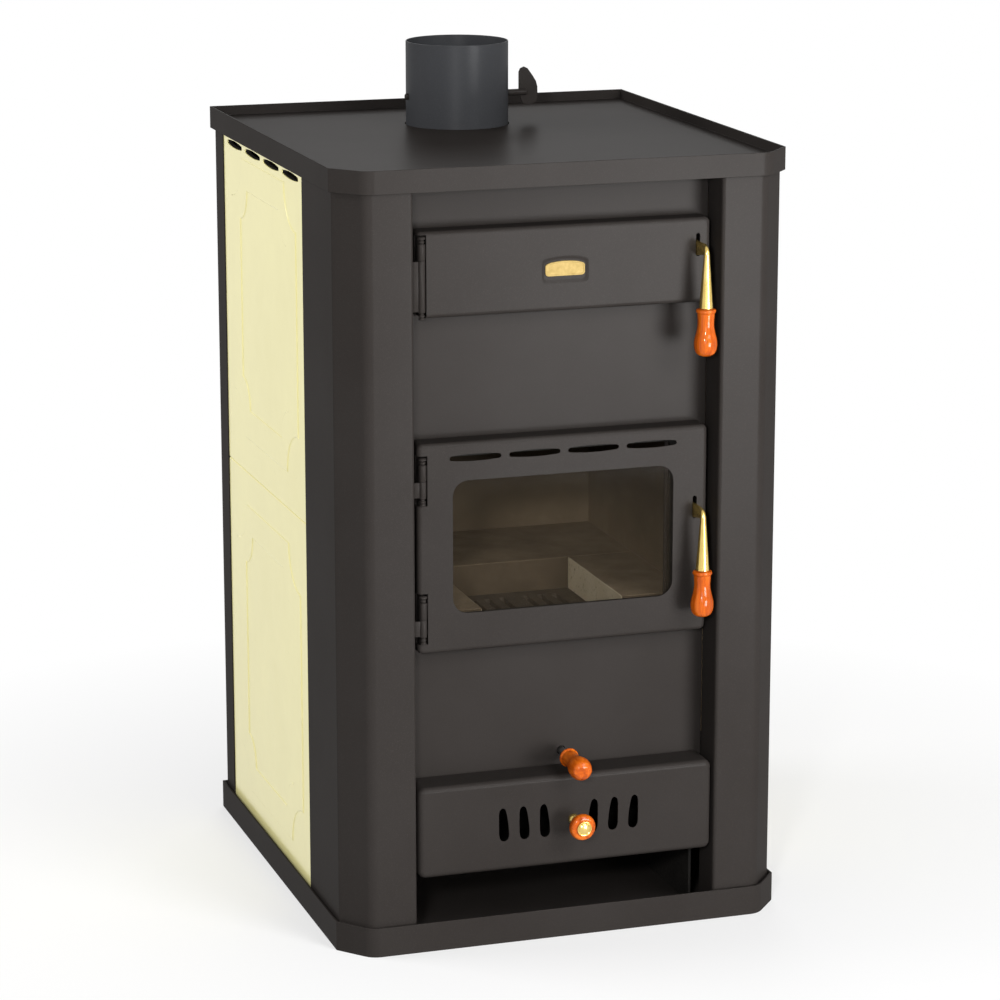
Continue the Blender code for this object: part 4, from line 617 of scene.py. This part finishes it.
def arc(centre, radius, start, end, steps):
    """Points on a circle from one angle to another, in degrees, both ends included."""
    angles = [radians(start + (end - start) * i / steps) for i in range(steps + 1)]
    return [(centre[0] + radius * cos(a), centre[1] + radius * sin(a)) for a in angles]


def round_loop(a0, a1, b0, b1, corner):
    """A rectangle with round corners."""
    return (arc((a0 + corner, b0 + corner), corner, 180, 270, CORNER_STEPS)
            + arc((a1 - corner, b0 + corner), corner, 270, 360, CORNER_STEPS)
            + arc((a1 - corner, b1 - corner), corner, 0, 90, CORNER_STEPS)
            + arc((a0 + corner, b1 - corner), corner, 90, 180, CORNER_STEPS))


def cove_loop(a0, a1, b0, b1, cut_a, cut_b):
    """A rectangle with hollowed corners, with as many points as the one with round corners."""
    points = []
    for a, b, start in ((a0, b0, 90), (a1, b0, 180), (a1, b1, 270), (a0, b1, 360)):
        for x, y in arc((0.0, 0.0), 1.0, start, start - 90, CORNER_STEPS):
            points.append((a + cut_a * x, b + cut_b * y))
    return points


def lens_loop(length, middle, end, centre, grow):
    """A slot that is widest in the middle, with round ends."""
    reach = length / 2 - end / 2

    def half(along):
        return grow + end / 2 + (middle - end) / 2 * (1 - (along / reach) ** 2)

    places = [-reach + 2 * reach * i / CORNER_STEPS for i in range(CORNER_STEPS + 1)]
    points = [(along, -half(along)) for along in places]
    points += arc((reach, 0.0), grow + end / 2, -90, 90, CORNER_STEPS)[1:-1]
    points += [(along, half(along)) for along in reversed(places)]
    points += arc((-reach, 0.0), grow + end / 2, 90, 270, CORNER_STEPS)[1:-1]
    return [(centre[0] + a, centre[1] + b) for a, b in points]


def fill_with_holes(bm, place, outer, holes):
    """Flat faces between an outline and the holes in it."""
    loops = [outer] + holes
    verts = [bm.verts.new(place(point)) for loop in loops for point in loop]
    for corners in tessellate_polygon([[Vector((a, b, 0.0)) for a, b in loop] for loop in loops]):
        bm.faces.new([verts[i] for i in corners])


behaviour = frame["record"]["behaviour"]
body_of = {node: body for body, members in behaviour["bodies"].items() for node in members}
pivot_of = {joint["name"]: joint["pos_m"] for joint in behaviour["joints"] if joint["type"] == "hinge"}


# Casing, boiler and hearth

def casing():
    for name in ("base_tray", "top_tray", "front_post_left", "front_post_right", "rear_post_left",
                 "rear_post_right", "back_cover", "front_plate"):
        dress(name, paint, SHEET_EDGE)
    for name in ("damper_disc", "damper_spindle"):
        dress(name, paint, THIN_EDGE)
    flue_spigot()
    for name in ("boiler_jacket", "firebox_shell", "baffle_plate", "loading_latch_catch",
                 "fire_latch_catch"):
        dress(name, plate, SHEET_EDGE)
    for name in ("ash_chamber", "tile_backing_left", "tile_backing_right"):
        dress(name, scale, SHEET_EDGE)
    for name in ("hearth_plate", "grate"):
        dress(name, iron, SHEET_EDGE)
    for name in ("firebrick_left", "firebrick_right", "firebrick_back"):
        dress(name, brick, BLOCK_EDGE)
    for name, wall in SOCKET_WALLS.items():
        socket(name, wall)
    screws()


def flue_spigot():
    """A thin pipe with a rounded rim, and a flange that rests on the boiler."""
    low, high = box("flue_collar")
    middle = (low + high) / 2
    bore = FLUE_RADIUS - FLUE_WALL
    flange = low.z + FLUE_FLANGE_RISE
    brim = high.z - FLUE_LIP_DROP
    profile = [
        (bore, low.z), (FLUE_RADIUS, low.z), (FLUE_RADIUS, flange), (FLUE_FLANGE_RADIUS, flange),
        (FLUE_FLANGE_RADIUS, flange + FLUE_FLANGE_THICKNESS), (FLUE_RADIUS, flange + FLUE_FLANGE_THICKNESS),
        (FLUE_RADIUS, brim), (FLUE_RADIUS - FLUE_LIP, high.z), (bore + FLUE_LIP, high.z), (bore, brim)]
    turned("flue_spigot", profile, (middle.x, middle.y, 0.0), (0, 0, 1), lit_flue_paint, "flue_collar",
           steps=FLUE_STEPS)


def socket(name, wall):
    """A pipe socket with its thread cut as rings in the mouth."""
    low, high = box(name)
    outside = (high.x - low.x) / 2
    bore = outside - wall
    end = high.y - low.y
    profile = [(bore, 0.0), (outside, 0.0), (outside, end - SOCKET_CHAMFER), (outside - SOCKET_CHAMFER, end)]
    for i in range(THREAD_TURNS):
        crest = end - THREAD_START - i * THREAD_PITCH
        profile += [(bore + THREAD_DEPTH, crest), (bore, crest - THREAD_PITCH / 2)]
    middle = (low + high) / 2
    turned(name + "_threaded", profile, (middle.x, low.y, middle.z), (0, 1, 0), steel, name)


def screws():
    """The back cover's screws, with their heads on the rear posts' flanges."""
    sheet = box("rear_post_left")[1].y
    bm = bmesh.new()
    for level in SCREW_LEVELS:
        for side in (-1, 1):
            add_lathe(bm, SCREW_HEAD, (side * SCREW_X, sheet, level), (0, 1, 0), LATHE_STEPS // 2)
    piece = link("back_cover_screws", bm, steel)
    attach(piece, body_of["back_cover"])


# Side tiles

def tile(name, margins, slotted):
    """A glazed tile: a flange, a face with rounded edges, a raised band and a sunk panel in it."""
    low, high = box(name)
    side = 1 if high.x > 0 else -1
    back, crest = sorted((abs(low.x), abs(high.x)))
    face = crest - RELIEF_HEIGHT
    lip = back + TILE_LIP
    y0, y1 = low.y + TILE_LIP, high.y - TILE_LIP
    slots = []
    if slotted:
        level_of_slots = high.z - TILE_SLOT_BELOW_TOP
        middle = (y0 + y1) / 2
        slots = [(middle + (i - (TILE_SLOTS - 1) / 2) * TILE_SLOT_PITCH, level_of_slots)
                 for i in range(TILE_SLOTS)]

    def level(depth, loop):
        return [(side * depth, y, z) for y, z in loop]

    def holes(grow):
        return [lens_loop(TILE_SLOT_LENGTH, TILE_SLOT_MIDDLE, TILE_SLOT_END, centre, grow)
                for centre in slots]

    bm = bmesh.new()
    flange = round_loop(low.y, high.y, low.z, high.z, TILE_CORNER)
    rim = round_loop(y0, y1, low.z, high.z, TILE_CORNER)
    loops = [level(back, flange), level(lip, flange), level(lip, rim)]
    for out, inset in arc((0.0, 0.0), TILE_EDGE_ROUND, 0, 90, EDGE_STEPS):
        gap = TILE_EDGE_ROUND - out
        edge = round_loop(y0 + gap, y1 - gap, low.z + gap, high.z - gap, TILE_CORNER - gap)
        loops.append(level(face - TILE_EDGE_ROUND + inset, edge))
    add_loft(bm, loops)
    fill_with_holes(bm, lambda point: level(back, [point])[0], flange, holes(0.0))

    def relief(a0, a1, b0, b1, cut_a, cut_b, start, end):
        made = []
        for t in RELIEF_STEPS:
            gap = RELIEF_SLOPE * t
            loop = cove_loop(a0 + gap, a1 - gap, b0 + gap, b1 - gap, cut_a, cut_b)
            made.append(level(start + (end - start) * ease(t), loop))
        return made

    a0, a1 = y0 + BAND_FRONT_MARGIN, y1 - BAND_REAR_MARGIN
    b0, b1 = low.z + margins[0], high.z - margins[1]
    band = relief(a0, a1, b0, b1, BAND_CUT, BAND_CUT, face, crest)
    panel = relief(a0 + BAND_WIDTH_Y, a1 - BAND_WIDTH_Y, b0 + BAND_WIDTH_Z, b1 - BAND_WIDTH_Z,
                   PANEL_CUT_Y, PANEL_CUT_Z, crest, face)
    add_loft(bm, band + panel)
    bm.faces.new([bm.verts.new(point) for point in panel[-1]])
    fill_with_holes(bm, lambda point: level(face, [point])[0], edge,
                    [cove_loop(a0, a1, b0, b1, BAND_CUT, BAND_CUT)] + holes(TILE_SLOT_LIP))
    steps = [
        (face, TILE_SLOT_LIP), (face - TILE_SLOT_SHOULDER, TILE_SLOT_LIP * TILE_SLOT_SHOULDER_SHARE),
        (face - TILE_SLOT_LIP, 0.0), (back, 0.0)]
    for walls in zip(*[[level(depth, loop) for loop in holes(grow)] for depth, grow in steps]):
        add_loft(bm, list(walls))
    if slots:
        # Painted shade: dark sleeves inside the slots
        sleeve = face - TILE_SHADE_SLEEVE_DEPTH
        shade_sleeves(name, [(level(sleeve, inner), level(back, inner)) for inner in holes(-TILE_SHADE_SLEEVE_INSET)])
    bmesh.ops.remove_doubles(bm, verts=bm.verts, dist=MERGE)
    stands_for(even(link(name + "_glazed", bm, glaze)), name)


def shade_sleeves(name, walls):
    """Thin dark sleeves in the slots behind the face, which paint shade inside them."""
    bm = bmesh.new()
    for near, far in walls:
        add_loft(bm, [near, far])
    piece = link(name + "_slot_shade_sleeves", bm, scale)
    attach(piece, body_of[name])


# Hinges

def hinge(prefix, pivot):
    """A lift-off hinge: a lower knuckle with the pin and a leaf, and an upper one with the door's tab."""
    frame_low, frame_high = box(prefix + "_frame_half")
    door_low, door_high = box(prefix + "_door_half")
    low = frame_low.z - HINGE_FOOT[0][1]
    seam = door_low.z - HINGE_PLAY / 2
    high = frame_high.z + HINGE_PIN_SHORT
    axis_x, axis_y, _ = pivot

    def leaf(outline, bottom, top):
        near, far = ([(x, y, z) for x, y in outline] for z in (bottom, top))
        add_block(bm, near, far, HINGE_LEAF_EDGE)

    foot = [(radius, low + along) for radius, along in HINGE_FOOT]
    foot += [
        (HINGE_BARREL, seam - 2 * HINGE_PLAY), (HINGE_BARREL - HINGE_PLAY, seam - HINGE_PLAY / 2),
        (HINGE_PIN, seam - HINGE_PLAY / 2), (HINGE_PIN, frame_high.z), (0.0, frame_high.z)]
    bm = bmesh.new()
    add_lathe(bm, foot, (axis_x, axis_y, 0.0), (0, 0, 1))
    near, far = axis_y - HINGE_LEAF / 2, axis_y + HINGE_LEAF / 2
    outer, inner = frame_low.x, frame_low.x + HINGE_LEAF
    leaf([(axis_x, near), (outer, near), (outer, frame_high.y), (inner, frame_high.y), (inner, far),
          (axis_x, far)], low + HINGE_LEAF_END, seam - HINGE_LEAF_SEAM)
    stands_for(link(prefix + "_frame_knuckle", bm, paint), prefix + "_frame_half")

    bore = HINGE_PIN + HINGE_PLAY
    pin_end = frame_high.z + HINGE_PLAY
    head = [
        (0.0, pin_end), (bore, pin_end), (bore, seam + HINGE_PLAY / 2),
        (HINGE_BARREL - HINGE_PLAY, seam + HINGE_PLAY / 2), (HINGE_BARREL, seam + 2 * HINGE_PLAY)]
    head += [(radius, high + along) for radius, along in HINGE_HEAD]
    bm = bmesh.new()
    add_lathe(bm, head, (axis_x, axis_y, 0.0), (0, 0, 1))
    root, front = axis_x - HINGE_TAB_ROOT, door_high.y - HINGE_LEAF
    leaf([(root, front), (door_high.x, front), (door_high.x, door_high.y), (root, door_high.y)],
         seam + HINGE_LEAF_SEAM, high - HINGE_LEAF_END)
    stands_for(link(prefix + "_door_knuckle", bm, paint), prefix + "_door_half")


# Latches, grips and the knob

def latch(prefix):
    """A flat arm through the door, a horn that swells into a cone along its outer edge, and a grip."""
    pin_x, pin_y, pin_z = pivot_of[prefix + "_latch_turn"]
    start_radius, bend_radius, cone_radius = HORN_RADII

    def place(forward, up, across=0.0):
        return (pin_x + across, pin_y - forward, pin_z + up)

    tip = LATCH_OUT + cone_radius
    centre = (tip - LATCH_BEND, LATCH_ROOT - LATCH_BEND)
    outline = list(LATCH_ARM) + arc(centre, LATCH_BEND - LATCH_ARM_TUCK, 90, 0, CORNER_STEPS)
    outline += [(tip - LATCH_ARM_TUCK, CONE_TOP),
                (LATCH_OUT - cone_radius + LATCH_ARM_TUCK_UNDER, CONE_TOP)]
    outline += LATCH_ARM_UNDER
    bm = bmesh.new()
    add_block(bm, [place(forward, up, -LATCH_BAR_HALF) for forward, up in outline],
              [place(forward, up, LATCH_BAR_HALF) for forward, up in outline], LATCH_ARM_EDGE)

    # Forward, up, the ring's tilt in degrees, and its radius
    path = [(HORN_START, LATCH_ROOT - start_radius, 90.0, start_radius)]
    steps = 2 * CORNER_STEPS
    for i in range(steps + 1):
        t = i / steps
        radius = bend_radius + (cone_radius - bend_radius) * t
        tilt = 90.0 - 90.0 * t
        out = LATCH_BEND - radius
        forward = centre[0] + out * cos(radians(tilt))
        path.append((forward, centre[1] + out * sin(radians(tilt)), tilt, radius))
    for up, radius in (
            (CONE_TOP - CONE_NECK, cone_radius), (CONE_BASE + CONE_EDGE_RISE, CONE_BASE_RADIUS),
            (CONE_BASE, CONE_BASE_RADIUS - CONE_EDGE_IN), (CONE_BASE, STEM_RADIUS),
            (CONE_BASE - STEM_LENGTH, STEM_RADIUS)):
        path.append((LATCH_OUT, up, 0.0, radius))
    loops = [[place(*path[0][:2])]]
    for forward, up, tilt, radius in path:
        out = (cos(radians(tilt)), sin(radians(tilt)))
        ring = []
        for i in range(LATHE_STEPS):
            turn = 2 * pi * i / LATHE_STEPS
            swing = radius * cos(turn)
            ring.append(place(forward + swing * out[0], up + swing * out[1], radius * sin(turn)))
        loops.append(ring)
    loops.append([place(*path[-1][:2])])
    add_loft(bm, loops)
    stands_for(link(prefix + "_latch_horn", bm, brass), prefix + "_latch_lever")

    grip(prefix + "_latch_handle", place(LATCH_OUT, CONE_BASE - GRIP_GAP), (0, 0, -1), STEM_RADIUS,
         wood_upright, prefix + "_latch_grip")


def grip(name, origin, direction, stem, material, node):
    """A turned grip, bored for its stem."""
    bore = stem + GRIP_GAP
    profile = [(0.0, STEM_LENGTH), (bore, STEM_LENGTH), (bore, 0.0)] + smooth_profile(GRIP_OUTLINE)
    turned(name, profile, origin, direction, material, node)


def knob():
    """A turned wooden ring on a brass stud, both about an axis square to the drawer's face."""
    low, high = box("drawer_knob")
    middle = (low + high) / 2
    place = (middle.x, box("ash_drawer_front")[0].y, middle.z)
    ring = smooth_profile(KNOB_OUTLINE)
    ring = [(KNOB_BORE, KNOB_OUTLINE[0][1])] + ring + [(KNOB_BORE, KNOB_OUTLINE[-1][1])]
    turned("drawer_knob_ring", ring, place, (0, -1, 0), wood_level, "drawer_knob")
    turned("drawer_knob_pin", STUD_PROFILE, place, (0, -1, 0), brass, "drawer_knob_stud")


# Badge, with a blank field

def badge_loop(y, half, low, high, corner):
    """A plate with an arched top and round lower corners."""
    shoulder = high - BADGE_ARCH
    points = arc((-half + corner, low + corner), corner, 180, 270, CORNER_STEPS)
    points += arc((half - corner, low + corner), corner, 270, 360, CORNER_STEPS)
    points += arc((half - corner, shoulder - corner), corner, 0, 60, CORNER_STEPS)
    reach = half - corner / 2
    for i in range(1, BADGE_ARCH_STEPS):
        x = reach * (1 - 2 * i / BADGE_ARCH_STEPS)
        points.append((x, high - BADGE_ARCH * (x / reach) ** 2))
    points += arc((-half + corner, shoulder - corner), corner, 120, 180, CORNER_STEPS)
    return [(x, y, z) for x, z in points]


def badge():
    """The blank plate, and the sloping wall of its seat in the loading door."""
    low, high = box("badge_plate")
    rim = [(0.0, high.y)] + [(inset, low.y + depth) for inset, depth in BADGE_RIM]
    loops = [badge_loop(y, high.x - inset, low.z + inset, high.z - inset, BADGE_CORNER - inset)
             for inset, y in rim]
    bm = bmesh.new()
    add_loft(bm, loops, caps=True)
    stands_for(link("badge_blank", bm, plate_brass), "badge_plate")

    door_face = box("loading_door")[0].y - SEAT_PROUD
    loops = []
    for i in range(CORNER_STEPS + 1):
        t = i / CORNER_STEPS
        inset = SEAT_SLOPE * t
        loops.append(badge_loop(
            door_face + SEAT_DEPTH * ease(t), high.x + SEAT_BESIDE - inset, low.z - SEAT_BELOW + inset,
            high.z + SEAT_ABOVE - inset, SEAT_CORNER - inset * SEAT_CORNER_SHARE))
    bm = bmesh.new()
    add_loft(bm, loops)
    piece = link("badge_seat_slope", bm, paint)
    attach(piece, body_of["loading_door"])


# Rope seals

def rope_loop(name):
    """A twisted rope laid round a rectangle with round corners."""
    low, high = box(name)
    radius = (high.y - low.y) / 2
    middle = (low.y + high.y) / 2
    corners = round_loop(low.x + radius, high.x - radius, low.z + radius, high.z - radius, ROPE_CORNER)
    path = []
    for here, there in zip(corners, corners[1:] + corners[:1]):
        span = (Vector(there) - Vector(here)).length
        count = max(1, round(span / ROPE_STEP))
        path += [Vector(here).lerp(Vector(there), i / count) for i in range(count)]
    turns = round(sum((b - a).length for a, b in zip(path, path[1:] + path[:1])) / ROPE_TWIST)
    loops = []
    for i, point in enumerate(path):
        tangent = (path[(i + 1) % len(path)] - path[i - 1]).normalized()
        outward = Vector((tangent.y, -tangent.x))
        twist = 2 * pi * turns * i / len(path)
        ring = []
        for k in range(ROPE_SIDES):
            angle = 2 * pi * k / ROPE_SIDES
            r = radius * (1 - ROPE_RELIEF * (0.5 - 0.5 * cos(ROPE_STRANDS * angle + twist)))
            reach = r * cos(angle)
            ring.append((point.x + outward.x * reach, middle + r * sin(angle), point.y + outward.y * reach))
        loops.append(ring)
    bm = bmesh.new()
    add_loft(bm, loops, closed=True)
    stands_for(link(name + "_braid", bm, rope), name)


# Doors and drawer

def doors():
    for name in ("loading_door", "fire_door", "ash_drawer_front"):
        dress(name, paint, THIN_EDGE)
    hinge("loading_hinge", pivot_of["loading_door_swing"])
    hinge("fire_hinge_upper", pivot_of["fire_door_swing"])
    hinge("fire_hinge_lower", pivot_of["fire_door_swing"])
    for name in ("loading_door_liner", "fire_door_liner", "glass_retainer_upper", "glass_retainer_lower",
                 "loading_latch_bracket", "fire_latch_bracket", "ash_drawer_box"):
        dress(name, scale, THIN_EDGE)
    for name in ("loading_door_seal", "fire_door_seal"):
        rope_loop(name)
    dress("glass_gasket", rope, THIN_EDGE)
    dress("door_glass", glass, THIN_EDGE)
    badge()
    latch("loading")
    latch("fire")
    dress("riddling_rod", steel, THIN_EDGE)
    grip("riddling_handle", RIDDLE_REAR, (0, -cos(RIDDLE_DROOP), -sin(RIDDLE_DROOP)), RIDDLE_STEM_RADIUS,
         wood_level, "riddling_grip")
    knob()


# The whole dressed model

casing()
doors()
for name in ("tile_left_lower", "tile_right_lower"):
    tile(name, BAND_LOWER_MARGINS, False)
for name in ("tile_left_upper", "tile_right_upper"):
    tile(name, BAND_UPPER_MARGINS, True)


# Studio

def studio():
    """A floor and a world that look white, to the camera and in mirrors, and give a plain soft light."""
    bm = bmesh.new()
    half = FLOOR_SIZE / 2
    bm.faces.new([bm.verts.new(corner) for corner in (
        (-half, -half, 0.0), (half, -half, 0.0), (half, half, 0.0), (-half, half, 0.0))])
    g = new_material("studio_floor")
    g.finish((FLOOR_TONE, FLOOR_TONE, FLOOR_TONE, 1.0), 0.9, Specular_IOR_Level=0.1)
    white = g.add("Emission", Color=WHITE, Strength=1.0).outputs[0]
    pale = g.add("BsdfDiffuse", Color=(FLOOR_SEEN, FLOOR_SEEN, FLOOR_SEEN, 1.0)).outputs[0]
    distance = g.add("VectorMath", {"operation": "LENGTH"}, Vector=g.add("TexCoord").outputs["Object"])
    near = g.range(distance.outputs["Value"], SHADOW_SHARE, 0.0, SHADOW_NEAR, SHADOW_FAR)
    path = g.add("LightPath").outputs
    mirrored = g.larger(path["Is Glossy Ray"], path["Is Transmission Ray"])
    lit = g.mix_shaders(mirrored, g.shader.outputs[0], white)
    g.show(g.mix_shaders(path["Is Camera Ray"], lit, g.mix_shaders(near, white, pale)), "Material Output")
    link("studio_floor", bm, g.owner, smooth=False)

    g = Graph(bpy.data.worlds.new("studio"))
    bpy.context.scene.world = g.owner
    lit = g.add("Background", Color=WHITE, Strength=WORLD_LEVEL).outputs[0]
    pale = g.add("Background", Color=(WORLD_SEEN, WORLD_SEEN, WORLD_SEEN, 1.0), Strength=1.0).outputs[0]
    path = g.add("LightPath").outputs
    seen = g.larger(path["Is Camera Ray"], path["Is Glossy Ray"])
    seen = g.larger(seen, path["Is Transmission Ray"])
    g.show(g.mix_shaders(seen, lit, pale), "World Output")


def lamp(name, azimuth, height_angle, distance, size, power):
    """A square soft lamp aimed at the stove; azimuth 0 is straight in front, positive to the right."""
    turn, rise = radians(azimuth), radians(height_angle)
    target = Vector(LAMP_TARGET)
    place = target + distance * Vector((sin(turn) * cos(rise), -cos(turn) * cos(rise), sin(rise)))
    light = bpy.data.lights.new(name, "AREA")
    light.shape = "SQUARE"
    light.size = size
    light.energy = power
    made = bpy.data.objects.new(name, light)
    made.location = place
    made.rotation_euler = (target - place).to_track_quat("-Z", "Y").to_euler()
    made.visible_camera = False
    bpy.context.scene.collection.objects.link(made)


def camera():
    data = bpy.data.cameras.new("camera")
    data.sensor_width = SENSOR
    data.lens = CAMERA_FOCAL_PIXELS / IMAGE_PIXELS * SENSOR
    data.clip_end = CAMERA_REACH
    made = bpy.data.objects.new("camera", data)
    made.location = CAMERA_PLACE
    made.rotation_euler = (pi / 2 - CAMERA_PITCH, 0.0, -CAMERA_YAW)
    bpy.context.scene.collection.objects.link(made)
    bpy.context.scene.camera = made


studio()
for values in LAMPS:
    lamp(*values)
camera()

bpy.context.scene.view_settings.view_transform = "Standard"
